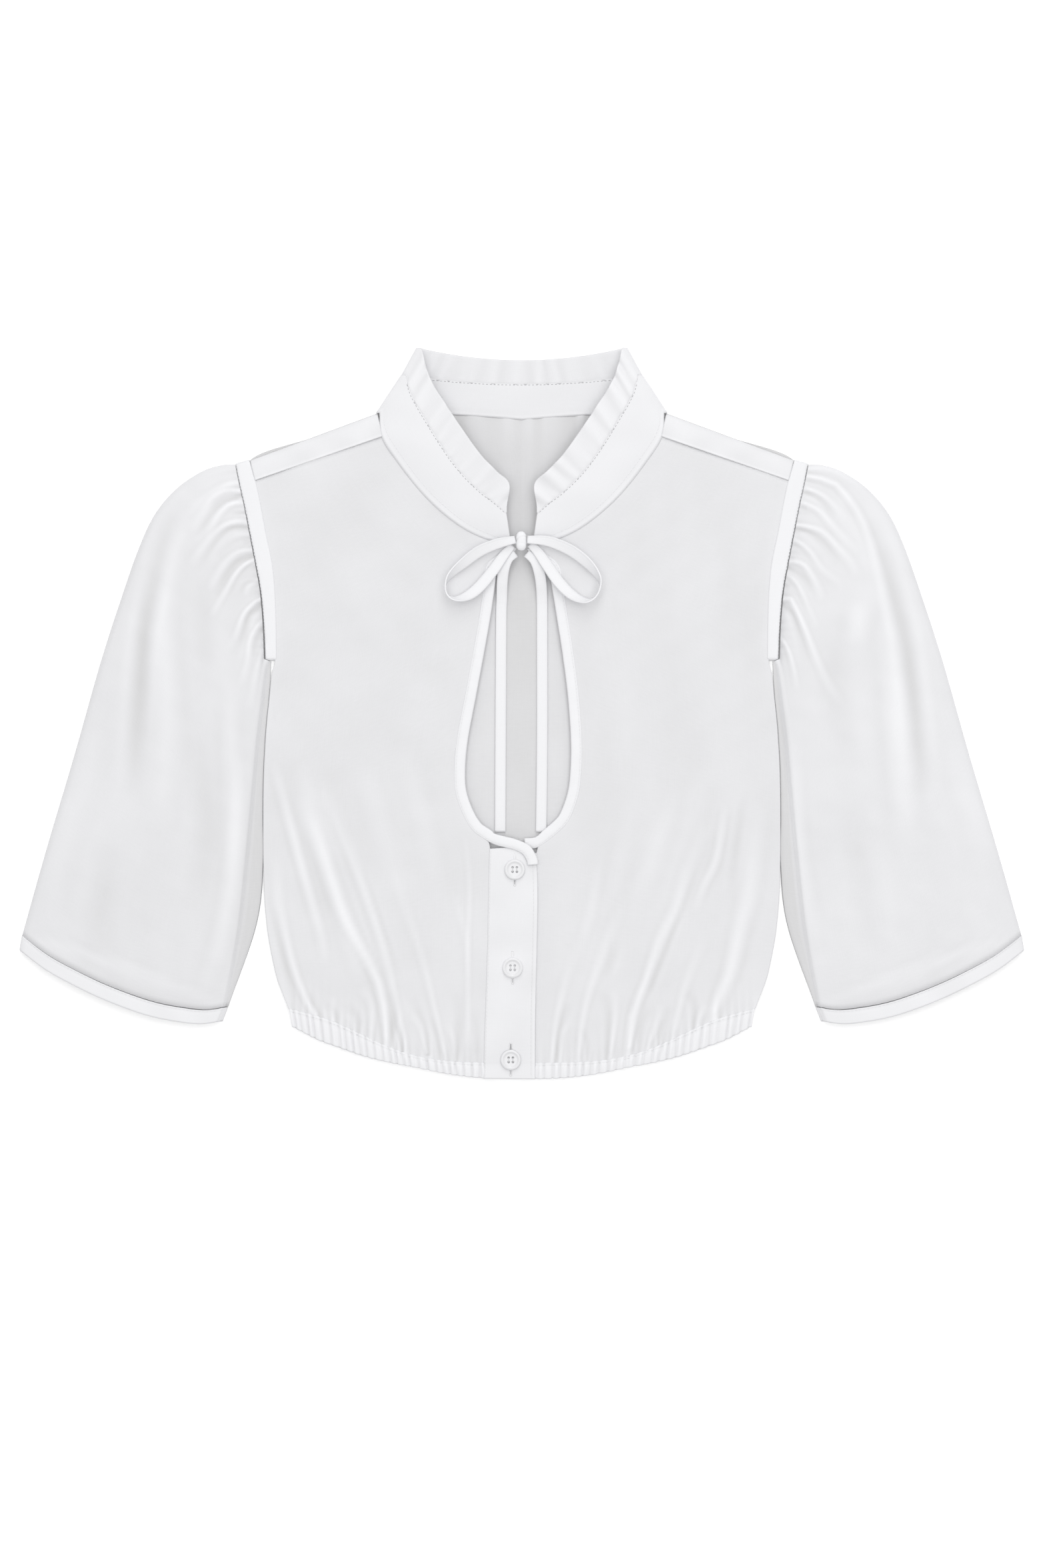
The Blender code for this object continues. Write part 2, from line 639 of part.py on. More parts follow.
def collar_turn(tip, front_z):
    """Points that carry one line of the collar round the shoulder fold, back layer first."""
    radius = (front_z - BACK_LAYER_Z) / 2
    points = []
    for angle in FOLD_ANGLES:
        lean = math.radians(angle)
        x = tip[0] - radius * (1 - math.cos(lean))
        points.append((x, tip[1], BACK_LAYER_Z + radius * (1 + math.sin(lean))))
    return points


def mirrored_row(row):
    return [(-x, y, z) for x, y, z in reversed(row)]


def collar_line(front, tip, curve, back_steps):
    """A whole line of the collar: right front, right fold, back, left fold, left front."""
    front_z = front[0][2]
    radius = (front_z - BACK_LAYER_Z) / 2
    half = tip[0] - radius
    back = []
    for i in range(back_steps + 1):
        x = half * (2 * i / back_steps - 1)
        back.append((x, back_curve(curve, x), BACK_LAYER_Z))
    left = collar_turn(tip, front_z) + list(front)
    return mirrored_row(left) + back + left


def lerp_rows(first, second, share):
    return [
        tuple(a + (b - a) * share for a, b in zip(p, q))
        for p, q in zip(first, second)
    ]


def make_collar_stand():
    neck = collar_line([row[0:3] for row in COLLAR_FRONT], NECK_FOLD, BACK_NECK, STAND_BACK_STEPS)
    seam = collar_line([row[3:6] for row in COLLAR_FRONT], SEAM_FOLD, BACK_SEAM, STAND_BACK_STEPS)
    lower = [moved(a, b, GAP) for a, b in zip(neck, seam)]
    upper = [moved(b, a, GAP / 2) for a, b in zip(neck, seam)]
    middle = []
    for x, y, z in lerp_rows(neck, seam, 0.5):
        middle.append((x, y, z + STAND_CROWN if z > 2 * BACK_LAYER_Z else z))
    wall("collar_stand", [lower, middle, upper], DOUBLE, "double", floor=0.0)


def make_collar_ruffle():
    """Gathered frill on the collar's upper edge, with soft waves and rounded front ends."""
    seam_front, edge_front = [], []
    stations = [row[3:9] for row in COLLAR_FRONT]
    for a, b in zip(stations[:-2], stations[1:-1]):
        for step in range(RUFFLE_STEPS):
            point = np.array(a) + (np.array(b) - np.array(a)) * step / RUFFLE_STEPS
            seam_front.append(tuple(point[:3]))
            edge_front.append(tuple(point[3:]))
    for row in (stations[-2], *RUFFLE_END, stations[-1]):
        seam_front.append(row[:3])
        edge_front.append(row[3:])
    waved = []
    for i, (x, y, z) in enumerate(edge_front):
        lift = gather(i, RUFFLE_RISE_FRONT) if 0 < i < len(edge_front) - 1 else 0.0
        waved.append((x, y, z + lift))
    back_steps = 2 * RUFFLE_WAVES_BACK
    seam = collar_line(seam_front, SEAM_FOLD, BACK_SEAM, back_steps)
    edge = collar_line(waved, EDGE_FOLD, BACK_EDGE, back_steps)
    first = len(waved) + len(FOLD_ANGLES)
    for i in range(1, back_steps, 2):
        x, y, z = edge[first + i]
        edge[first + i] = (x, y, z + RUFFLE_RISE_BACK * 2 * uneven(i))
    lower = [moved(a, b, 2 * GAP) for a, b in zip(seam, edge)]
    middle = lerp_rows(lower, edge, 0.5)
    wall("collar_ruffle", [lower, middle, edge], SHEER, "sheer", floor=0.0)


def make_binding(side, rows):
    """Keyhole binding along the front panel's inner edge, then its own lower end."""
    sign = -1 if side == "right" else 1
    edge = []
    for number in KEYHOLE_SECTIONS:
        x, y, z = rows[number][-1]
        edge.append((sign * x, y, z))
    outer, inner = [], []
    for i, (x, y, z) in enumerate(edge):
        before, after = edge[max(i - 1, 0)], edge[min(i + 1, len(edge) - 1)]
        way = unit(np.array(after[:2]) - np.array(before[:2]))
        inward = np.array((way[1], -way[0])) * sign
        for line, distance in ((outer, 1.5 * GAP), (inner, 1.5 * GAP + BINDING_WIDTH)):
            line.append((x + inward[0] * distance, y + inward[1] * distance, z))
    ends = BINDING_END_RIGHT if side == "right" else BINDING_END_LEFT
    for outer_x, outer_y, inner_x, inner_y, z in ends:
        outer.append((outer_x, outer_y, z))
        inner.append((inner_x, inner_y, z))
    wall(f"keyhole_binding_{side}", [outer, inner], BINDING_WALL, "double", upright=True)


def make_centre_front():
    """Placket with its button stand beneath."""
    rows = []
    for left_x, left_y, right_x, right_y in PLACKET:
        left = np.array((left_x, left_y, PLACKET_Z))
        right = np.array((right_x, right_y, PLACKET_Z))
        rows.append([tuple(left + (right - left) * i / 3) for i in range(4)])
    wall("placket", rows, PLACKET_WALL, "double", upright=True)
    rows = []
    for left_x, right_x, y in BUTTON_STAND:
        rows.append([(left_x, y, STAND_UNDER_Z), (right_x, y, STAND_UNDER_Z)])
    wall("button_stand", rows, SHEER, "double", upright=True)


def make_button(number, x, y):
    """Four-hole button: turned rim and dish, with the holes cut through."""
    points = [(0.0, 0.0, BUTTON_PROFILE[0][1]), (0.0, 0.0, BUTTON_PROFILE[-1][1])]
    rings = []
    for radius, z in BUTTON_PROFILE[1:-1]:
        ring = []
        for i in range(BUTTON_SIDES):
            turn = 2 * math.pi * i / BUTTON_SIDES
            ring.append(len(points))
            points.append((radius * math.cos(turn), radius * math.sin(turn), z))
        rings.append(ring)
    faces = []
    for i in range(BUTTON_SIDES):
        j = (i + 1) % BUTTON_SIDES
        faces.append((0, rings[0][j], rings[0][i]))
        faces.append((1, rings[-1][i], rings[-1][j]))
        for a, b in zip(rings, rings[1:]):
            faces.append((a[i], a[j], b[j], b[i]))
    button = place_mesh(f"button_{number}", points, faces, "button")
    seat = PLACKET_Z + PLACKET_WALL / 2 + GAP
    button.location = (x * MM, y * MM, seat * MM)
    button.data.shade_smooth()
    cutter_mesh = bpy.data.meshes.new(f"holes_{number}")
    shape = bmesh.new()
    radius = BUTTON_HOLE_RADIUS * MM
    for across in (-BUTTON_HOLE_SPACING, BUTTON_HOLE_SPACING):
        for up in (-BUTTON_HOLE_SPACING, BUTTON_HOLE_SPACING):
            made = bmesh.ops.create_cone(
                shape, cap_ends=True, segments=BUTTON_HOLE_SIDES,
                radius1=radius, radius2=radius, depth=BUTTON_HOLE_DEPTH * MM,
            )
            bmesh.ops.translate(shape, verts=made["verts"], vec=(across * MM, up * MM, 0.0))
    shape.to_mesh(cutter_mesh)
    shape.free()
    cutter = bpy.data.objects.new(f"holes_{number}", cutter_mesh)
    bpy.context.scene.collection.objects.link(cutter)
    cutter.location = button.location
    cutter.hide_render = True
    cutter.display_type = "WIRE"
    cut = button.modifiers.new("holes", "BOOLEAN")
    cut.operation = "DIFFERENCE"
    cut.object = cutter


def make_casing(name, plan_top, level, rise, floor):
    """Gathered elastic casing below a panel's last row."""
    rows = []
    for down, share, lift in CASING_SECTION:
        row = []
        for i, (x, y, _) in enumerate(plan_top):
            start = np.array((x, y - GAP))
            end = np.array((x * CASING_TAPER, casing_bottom(x) + CASING_SCALLOP * (i % 2)))
            place = start + (end - start) * down
            row.append((*place, level + lift + share * gather(i, rise)))
        rows.append(row)
    wall(
        name, rows, CASING_WALL, "double",
        upright=True, floor=floor, mirrored=name.endswith("right"),
    )


def sleeve_armhole(u):
    """Sleeve's own edge of the armhole seam, from the shoulder to the underarm."""
    points = [moved(row[2:4], row[0:2], -SLEEVE_SETBACK) for row in ARMHOLE]
    return along(points + [UNDERARM], u)


def sleeve_hem_line(u, inner_end, rise):
    """Line across the sleeve's hem, a rise above its lower edge."""
    xs, ys = zip(*SLEEVE_EDGE)
    x, y = along(SLEEVE_EDGE, u)
    edge_y = smooth(-x, [-v for v in xs], ys)
    lean = np.array(SLEEVE_HEM_LEAN) + np.array(SLEEVE_HEM_LEAN_CHANGE) * u
    base = np.array((x + inner_end * u, edge_y))
    return base + lean * rise


def sleeve_plan(section, u, inner):
    """Place on the sleeve between its four edges."""
    t = section[0]
    outer = np.array(section[1:3])
    end = np.array(section[5:7] if inner else section[3:5])
    inner_end = 0.0 if inner else SLEEVE_FOLD_INSET
    head, hem = sleeve_armhole(u), sleeve_hem_line(u, inner_end, SLEEVE_HEM_HEIGHT)
    head_0, head_1 = sleeve_armhole(0), sleeve_armhole(1)
    hem_0 = sleeve_hem_line(0, inner_end, SLEEVE_HEM_HEIGHT)
    hem_1 = sleeve_hem_line(1, inner_end, SLEEVE_HEM_HEIGHT)
    across = (1 - u) * outer + u * end
    down = (1 - t) * head + t * hem
    corners = (1 - t) * ((1 - u) * head_0 + u * head_1) + t * ((1 - u) * hem_0 + u * hem_1)
    return across + down - corners


def sleeve_crown(u):
    """Share of the crown height across the front layer, low at the outer edge."""
    return math.sin(math.pi * CROWN_REACH * u ** CROWN_SKEW) ** CROWN_FULLNESS


def sleeve_ring(place, crown, pucker, gathers, low_gathers):
    """One ring round the sleeve: outer fold, front layer, pressed wedge, back layer."""
    outer, low_outer = place(0, False), place(0, True)
    tip_z = (SLEEVE_BASE_Z + SLEEVE_LOWER_Z) / 2
    ring = [(*outer, tip_z)]
    fold, inner = place(1, False), place(1, True)
    width = np.linalg.norm(fold - outer)
    stop = 1 - SLEEVE_STEP / width
    shares = [GATHERED_SHARE * k / (2 * gathers) for k in range(1, 2 * gathers + 1)]
    for k, u in enumerate(shares + [*SMOOTH_SHARES, stop]):
        lift = gather(k, pucker) if k < 2 * gathers - 1 else 0.0
        z = SLEEVE_BASE_Z + crown * sleeve_crown(u) + lift
        ring.append((*place(u, False), z))
    pressed = min(SLEEVE_TURN, GAP * np.linalg.norm(fold - inner) + GAP)
    inner_side = unit(fold - inner)
    ring.append((*fold, SLEEVE_PRESSED_Z))
    ring.append((*(inner + inner_side * pressed), SLEEVE_PRESSED_Z))
    ring.append((*inner, (SLEEVE_PRESSED_Z + SLEEVE_LOWER_Z) / 2))
    ring.append((*(inner + inner_side * SLEEVE_TURN), SLEEVE_LOWER_Z))
    low_shares = [SMOOTH_SHARES[-1] * k / (2 * low_gathers + 1) for k in range(1, 2 * low_gathers + 2)]
    for k in range(len(low_shares), 0, -1):
        lift = pucker * 0.5 * (k % 2) if k < len(low_shares) else 0.0
        ring.append((*place(low_shares[k - 1], True), SLEEVE_LOWER_Z + lift))
    outer_side = unit(place(0.1, True) - low_outer)
    ring.append((*(low_outer + outer_side * SLEEVE_STEP), SLEEVE_LOWER_Z))
    return ring


def make_sleeve(side):
    mirrored = side == "right"
    rings = []
    for section in SLEEVE_SECTIONS:
        def place(u, inner, section=section):
            return sleeve_plan(section, u, inner)
        rings.append(
            sleeve_ring(place, section[7], section[8], SLEEVE_GATHERS_FRONT, SLEEVE_GATHERS_BACK)
        )
    wall(f"sleeve_{side}", rings, SHEER, "sheer", closed=True, floor=0.0, mirrored=mirrored)
    crown = SLEEVE_SECTIONS[-1][7]
    rings = []
    for rise in (SLEEVE_HEM_HEIGHT - 3 * GAP, 0.0):
        def place(u, inner, rise=rise):
            return sleeve_hem_line(u, 0.0 if inner else SLEEVE_FOLD_INSET, rise)
        rings.append(
            sleeve_ring(place, crown, 0.0, SLEEVE_GATHERS_FRONT // 2, SLEEVE_GATHERS_BACK // 2)
        )
    wall(f"sleeve_hem_{side}", rings, SHEER, "double", closed=True, floor=0.0, mirrored=mirrored)


def make_ribbon(name, table, wall_thickness):
    """Ribbon along a table of places; tilt 0 lies flat and 90 stands on its edge."""
    first, second = [], []
    points = np.array([row[:3] for row in table])
    clockwise = 0.0
    for a, b, c in zip(points, points[1:], points[2:]):
        clockwise -= np.cross((b - a)[:2], (c - b)[:2])
    side_sign = 1 if clockwise > 0 else -1
    for i, (x, y, z, tilt, width) in enumerate(table):
        before, after = points[max(i - 1, 0)], points[min(i + 1, len(points) - 1)]
        way = unit((after - before)[:2])
        outward = np.array((-way[1], way[0])) * side_sign
        lean = math.radians(tilt)
        half = width / 2
        step = np.array((*(outward * math.cos(lean) * half), math.sin(lean) * half))
        centre = np.array((x, y, z))
        first.append(centre + step)
        second.append(centre - step)
    wall(name, [first, second], wall_thickness, "double")


def make_knot():
    """Knot of the tie, a rounded block drawn in at its middle."""
    shape = bmesh.new()
    bmesh.ops.create_uvsphere(shape, u_segments=12, v_segments=8, radius=1.0)
    points, faces = [], []
    for vertex in shape.verts:
        x, y, z = (math.copysign(abs(c) ** 0.75, c) for c in vertex.co)
        waist = 1 - 0.12 * math.cos(math.pi * y * 0.5) ** 4
        points.append([
            KNOT_CENTRE[0] + x * KNOT_HALF[0] * waist,
            KNOT_CENTRE[1] + y * KNOT_HALF[1],
            KNOT_CENTRE[2] + z * KNOT_HALF[2] * waist,
        ])
    for face in shape.faces:
        faces.append([vertex.index for vertex in face.verts])
    shape.free()
    place_mesh("tie_knot", points, faces, "double")


def centre_on_floor():
    """Move the blouse so that the origin is under the middle of its outline."""
    bpy.context.view_layer.update()
    pieces = [piece for piece in bpy.data.objects if not piece.hide_render]
    corners = [piece.matrix_world @ vertex.co for piece in pieces for vertex in piece.data.vertices]
    low = [min(corner[axis] for corner in corners) for axis in range(3)]
    high = [max(corner[axis] for corner in corners) for axis in range(3)]
    shift = (-(low[0] + high[0]) / 2, -(low[1] + high[1]) / 2, -low[2])
    for piece in bpy.data.objects:
        piece.location = [place + step for place, step in zip(piece.location, shift)]


def build():
    remove_everything()
    make_back()
    for side in ("right", "left"):
        rows = front_rows(side)
        make_front(side, rows)
        make_shoulder_band(side, rows[0])
        make_armhole_binding(side)
        make_binding(side, rows)
        floor = HEM_BACK_Z + CASING_WALL / 2 + 2 * GAP
        make_casing(f"hem_casing_{side}", rows[-1], HEM_FRONT_Z, HEM_GATHER_RISE, floor)
        make_sleeve(side)
    columns = 2 * HEM_GATHERS_BACK
    back_line = []
    for i in range(columns + 1):
        x = HEM_HALF * (2 * i / columns - 1)
        back_line.append((x, casing_top(x), 0.0))
    make_casing("hem_casing_back", back_line, HEM_BACK_Z, HEM_GATHER_RISE_BACK, 0.0)
    make_collar_stand()
    make_collar_ruffle()
    make_centre_front()
    for number, (x, y) in enumerate(BUTTON_PLACES, start=1):
        make_button(number, x, y)
    make_ribbon("bow_loop_right", LOOP_RIGHT, TIE_WALL)
    make_ribbon("bow_loop_left", LOOP_LEFT, TIE_WALL)
    make_ribbon("tie_tail_right", TAIL_RIGHT, TIE_WALL)
    make_ribbon("tie_tail_left", TAIL_LEFT, TIE_WALL)
    make_knot()
    centre_on_floor()


build()
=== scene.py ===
"""White dirndl blouse laid flat: its cloth, stitches and buttons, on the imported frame.

Lengths are in millimetres until a mesh is made. X runs outwards from the centre front in every
table, so one table serves both halves; "right" is the wearer's right, at minus X.
"""

import math

import bpy
import numpy as np
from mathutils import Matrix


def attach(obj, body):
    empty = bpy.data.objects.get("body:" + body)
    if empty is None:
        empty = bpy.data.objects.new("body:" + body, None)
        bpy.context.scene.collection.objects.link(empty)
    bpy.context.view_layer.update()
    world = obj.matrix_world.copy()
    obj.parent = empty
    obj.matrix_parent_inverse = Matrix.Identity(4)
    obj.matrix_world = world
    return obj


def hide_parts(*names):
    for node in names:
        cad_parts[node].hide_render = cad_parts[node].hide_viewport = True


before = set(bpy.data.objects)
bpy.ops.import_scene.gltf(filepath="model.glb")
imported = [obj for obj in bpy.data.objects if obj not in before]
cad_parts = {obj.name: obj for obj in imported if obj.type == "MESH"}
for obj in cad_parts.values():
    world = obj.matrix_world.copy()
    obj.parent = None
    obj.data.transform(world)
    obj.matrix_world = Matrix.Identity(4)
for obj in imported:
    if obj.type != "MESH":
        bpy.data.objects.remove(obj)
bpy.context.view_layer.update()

MM = 0.001
SIDES = (("right", -1), ("left", 1))

# Real thickness of the cloth shells
SHEER = 0.4
DOUBLE = 0.9
RIBBON = 0.8

# Photograph's frame: pixels, size of one in millimetres, and the pixel over the blouse's origin
PHOTO_SIZE = (1568, 2352)
PIXEL = 0.47
ORIGIN_PIXEL = (783, 1070)

# Front panel, one row for each section from the shoulder to the hem.
# Columns: side x, side y, right inner x and y, left inner x and y, z at side, middle, right, left
FRONT_SECTIONS = (
    (188.0, 164.0, 98.2, 194.7, 98.2, 194.7, 3.2, 4.6, 6.4, 6.4),
    (184.5, 148.0, 86.9, 176.7, 86.9, 176.7, 3.2, 4.8, 6.6, 6.6),
    (180.8, 128.0, 71.9, 157.4, 71.9, 157.4, 3.2, 4.8, 6.8, 6.8),
    (176.2, 105.8, 57.8, 143.3, 57.8, 143.3, 3.2, 4.6, 6.8, 6.8),
    (174.2, 85.0, 41.8, 131.1, 41.8, 131.1, 3.2, 4.4, 6.6, 6.6),
    (173.4, 62.0, 26.0, 123.3, 26.0, 123.3, 3.0, 4.2, 6.4, 6.4),
    (173.2, 38.5, 11.0, 117.0, 11.0, 117.0, 2.6, 4.0, 6.2, 6.2),
    (175.5, 28.0, 24.0, 105.3, 25.4, 105.3, 2.0, 3.8, 5.6, 5.6),
    (176.9, 14.0, 26.6, 91.0, 28.6, 91.0, 1.9, 3.6, 5.0, 5.0),
    (178.8, -4.0, 29.4, 71.0, 31.8, 71.0, 1.8, 3.4, 4.6, 4.6),
    (180.2, -24.0, 34.3, 42.8, 36.2, 42.8, 1.8, 3.4, 4.4, 4.4),
    (181.0, -42.0, 40.1, 11.8, 40.1, 11.8, 1.8, 3.4, 4.3, 4.2),
    (181.4, -58.0, 45.9, -19.6, 42.2, -19.6, 1.8, 3.4, 4.3, 4.0),
    (181.5, -74.0, 47.6, -42.9, 41.7, -42.9, 1.8, 3.4, 4.4, 3.9),
    (181.5, -88.0, 46.1, -58.5, 39.5, -58.5, 1.8, 3.4, 4.6, 3.8),
    (181.4, -101.0, 40.1, -74.1, 33.8, -74.1, 1.8, 3.4, 4.9, 3.7),
    (181.2, -112.0, 33.4, -83.7, 27.7, -81.8, 1.8, 3.4, 5.2, 3.6),
    (180.9, -123.0, 25.2, -90.0, 18.5, -89.8, 1.8, 3.4, 5.3, 3.6),
    (180.2, -136.0, 23.5, -102.0, 11.7, -98.0, 1.8, 3.4, 5.3, 3.6),
    (178.4, -154.0, 24.1, -130.0, 11.7, -130.0, 1.8, 3.4, 5.3, 3.6),
    (175.6, -170.0, 24.8, -160.0, 11.3, -160.0, 1.9, 3.5, 5.3, 3.6),
    (172.0, -186.0, 25.9, -195.0, 10.5, -195.0, 2.2, 3.7, 5.2, 3.7),
    (167.6, -198.0, 26.7, -232.0, 10.0, -232.0, 3.0, 4.2, 5.0, 4.1),
    (163.4, -208.5, 27.3, -246.4, 9.9, -246.4, 4.5, 4.5, 4.5, 4.5),
)
KEYHOLE_ROWS = (6, 17)
FRONT_ROWS = 150
FRONT_COLUMNS = 200

# Seam line that sets the elastic hem casing, columns: x, top y, bottom y
CASING_EDGES = (
    (0.0, -246.8, -257.4),
    (28.2, -246.4, -256.9),
    (49.1, -245.6, -254.6),
    (77.1, -241.0, -249.1),
    (95.9, -234.5, -245.6),
    (112.3, -226.8, -241.6),
    (133.5, -217.1, -234.4),
    (142.6, -214.0, -231.2),
    (163.4, -208.5, -220.7),
)
HEM_HALF = CASING_EDGES[-1][0]
CASING_FRONT_Z = 4.5
CASING_BACK_Z = 1.3
CASING_GATHERS = 26

# Armhole band, columns: body side x and y, sleeve side x and y, z of the front layer
ARMHOLE = (
    (192.2, 177.7, 201.2, 175.3, 2.6),
    (188.0, 164.0, 198.3, 161.5, 3.2),
    (184.5, 148.0, 195.0, 147.0, 3.2),
    (180.8, 128.0, 191.0, 127.0, 3.2),
    (176.2, 105.8, 186.6, 104.5, 3.2),
    (174.2, 85.0, 183.2, 85.0, 3.2),
    (173.4, 62.0, 181.2, 62.0, 3.0),
    (173.2, 38.5, 180.3, 38.5, 2.6),
)
SHOULDER_LINE = ((191.6, 177.9), (101.6, 211.1))

# Back panel down to the hem, columns: half width, y at the side, y at the centre
BACK_SECTIONS = (
    (101.8, 211.4, 206.9),
    (118.0, 205.2, 199.0),
    (146.0, 194.8, 189.0),
    (192.2, 177.7, 174.0),
    (184.5, 148.0, 147.0),
    (176.2, 105.8, 106.0),
    (173.4, 62.0, 62.0),
    (173.2, 38.5, 38.5),
    (175.5, 28.0, 28.0),
    (179.8, -20.0, -20.0),
    (181.5, -80.0, -80.0),
    (180.2, -136.0, -140.0),
    (172.0, -186.0, -200.0),
    (163.4, -208.5, -246.8),
)

# Collar front, one row for each station from the shoulder fold to the tie.
# Columns: neck x, y, z, then seam x, y, z, then ruffle edge x, y, z
COLLAR_FRONT = (
    (99.8, 211.9, 4.6, 81.5, 238.3, 6.8, 70.8, 257.1, 7.8),
    (98.2, 194.7, 6.4, 77.0, 224.0, 9.6, 64.5, 235.5, 11.0),
    (86.9, 176.7, 6.6, 66.0, 204.5, 11.0, 52.0, 214.8, 13.0),
    (71.9, 157.4, 6.8, 53.5, 184.3, 11.6, 39.5, 196.2, 14.0),
    (57.8, 143.3, 6.8, 42.0, 169.0, 11.6, 28.7, 181.4, 14.0),
    (41.8, 131.1, 6.6, 29.5, 156.5, 11.0, 17.5, 169.8, 13.2),
    (26.0, 123.3, 6.4, 18.3, 147.6, 10.0, 8.9, 161.2, 12.0),
    (7.5, 118.5, 6.2, 10.8, 140.5, 9.0, 9.6, 143.6, 9.6),
)
# Fold tip of each collar line at the shoulder, columns: x, y
COLLAR_FOLDS = ((102.0, 211.9), (84.6, 238.3), (74.3, 257.1))
# Back line of each at its centre, columns: y, rise at the fold, power of the curve
COLLAR_BACK = ((207.3, 4.6, 2), (232.6, 5.7, 2), (248.8, 8.3, 2))
COLLAR_BACK_Z = 0.8

# Sleeve, one row for each ring from the armhole to the hem band.
# Columns: way along, outer x, y, front fold x, y, inner x, y, crown height
SLEEVE_SECTIONS = (
    (0.00, 202.0, 175.1, 178.4, 37.0, 176.8, 37.2, 0.0),
    (0.03, 212.0, 174.6, 179.4, 31.0, 177.0, 31.0, 4.6),
    (0.07, 226.0, 170.0, 180.8, 20.0, 177.5, 20.0, 7.6),
    (0.13, 243.6, 157.9, 182.3, 6.0, 178.7, 6.0, 9.4),
    (0.19, 258.6, 140.1, 184.0, -8.0, 180.2, -8.0, 10.2),
    (0.26, 269.6, 116.8, 185.8, -24.0, 181.3, -24.0, 10.2),
    (0.35, 281.6, 82.8, 187.6, -44.0, 182.2, -44.0, 9.4),
    (0.47, 296.6, 36.3, 190.2, -72.0, 182.5, -72.0, 8.2),
    (0.64, 315.6, -30.7, 193.8, -108.0, 182.3, -108.0, 6.8),
    (0.82, 334.6, -94.7, 199.0, -153.0, 187.2, -149.5, 5.8),
    (1.00, 352.0, -156.5, 208.9, -206.5, 207.0, -206.8, 5.2),
)
# Lower edge of the sleeve from the outer to the inner corner, columns: x, y
SLEEVE_EDGE = (
    (353.8, -166.8), (335.1, -180.5), (316.3, -190.8), (297.5, -199.8), (278.7, -207.3),
    (259.9, -213.4), (241.1, -217.1), (222.3, -218.7), (211.0, -216.9),
)
SLEEVE_BASE_Z = 3.0
SLEEVE_LOW_Z = 0.5
SLEEVE_PRESSED_Z = 1.9
SLEEVE_HEM_HEIGHT = 10.4
SLEEVE_FOLD_INSET = 1.9
UNDERARM = (176.8, 37.2)
SLEEVE_ROWS = 150
SLEEVE_FRONT_COLUMNS = 150
SLEEVE_BACK_COLUMNS = 44

# Lower ends of the two keyhole bindings, columns: outer x, y, inner x, y, z
BINDING_WIDTH = 7.5
BINDING_END = {
    "right": (
        (19.1, -92.4, 18.9, -84.9, 6.2),
        (12.0, -94.3, 11.6, -86.8, 7.1),
        (4.6, -96.3, 3.6, -88.9, 7.1),
        (-0.6, -99.2, -5.6, -93.4, 7.1),
        (-3.4, -103.6, -10.6, -101.6, 7.1),
        (-4.0, -107.0, -11.4, -106.4, 7.1),
    ),
    "left": (
        (10.8, -94.6, 9.6, -87.2, 3.45),
        (2.2, -95.4, 1.8, -88.0, 3.45),
    ),
}

# Placket strip from top to bottom, columns: left x, left y, right x, right y
PLACKET = (
    (-22.6, -95.4, 1.4, -93.9),
    (-22.8, -98.6, 7.3, -97.8),
    (-23.0, -105.6, 10.2, -105.3),
    (-23.6, -130.0, 11.0, -130.0),
    (-24.3, -168.0, 10.4, -168.0),
    (-25.5, -206.0, 9.5, -206.0),
    (-26.4, -235.0, 9.3, -235.0),
    (-26.8, -257.2, 9.3, -257.6),
)
PLACKET_Z = 5.3
# Button stand under the placket, columns: left x, left y, right x, right y
BUTTON_STAND = (
    (-19.7, -98.4, 10.9, -98.4),
    (-19.8, -130.0, 11.0, -130.0),
    (-20.0, -168.0, 10.4, -168.0),
    (-20.4, -206.0, 9.6, -206.0),
    (-20.8, -257.0, 9.2, -257.0),
)
BUTTON_STAND_Z = 3.65

# Bow and tails, columns: x, y, z, tilt in degrees, width
BOW_LOOP = {
    "right": (
        (-4.6, 121.9, 13.0, 0.0, 5.0),
        (-16.9, 119.0, 12.6, 12.0, 7.0),
        (-29.6, 113.7, 11.8, 20.0, 8.0),
        (-40.4, 105.6, 11.4, 32.0, 8.0),
        (-50.0, 96.8, 11.8, 60.0, 7.5),
        (-53.6, 90.0, 12.4, 90.0, 7.5),
        (-53.0, 84.6, 12.4, 90.0, 7.5),
        (-49.4, 81.2, 12.2, 78.0, 7.5),
        (-43.6, 80.9, 11.6, 55.0, 7.5),
        (-36.4, 83.6, 11.0, 30.0, 8.0),
        (-29.0, 89.8, 10.4, 16.0, 8.0),
        (-20.2, 100.4, 9.8, 8.0, 7.5),
        (-12.9, 110.6, 9.4, 0.0, 6.5),
        (-6.6, 117.8, 9.3, 0.0, 4.6),
    ),
    "left": (
        (3.8, 121.9, 13.0, 0.0, 5.0),
        (18.4, 120.6, 12.6, 12.0, 7.0),
        (33.4, 114.7, 11.8, 20.0, 8.0),
        (45.6, 105.6, 11.4, 32.0, 8.0),
        (53.2, 96.2, 11.8, 60.0, 7.5),
        (55.2, 89.0, 12.4, 90.0, 7.5),
        (53.0, 83.2, 12.4, 90.0, 7.5),
        (48.6, 79.8, 12.2, 78.0, 7.5),
        (42.6, 79.7, 11.6, 55.0, 7.5),
        (34.2, 84.0, 11.0, 30.0, 8.0),
        (25.6, 92.8, 10.4, 16.0, 8.0),
        (17.4, 104.6, 9.8, 8.0, 7.5),
        (11.2, 113.4, 9.4, 0.0, 6.5),
        (5.8, 118.8, 9.3, 0.0, 4.6),
    ),
}
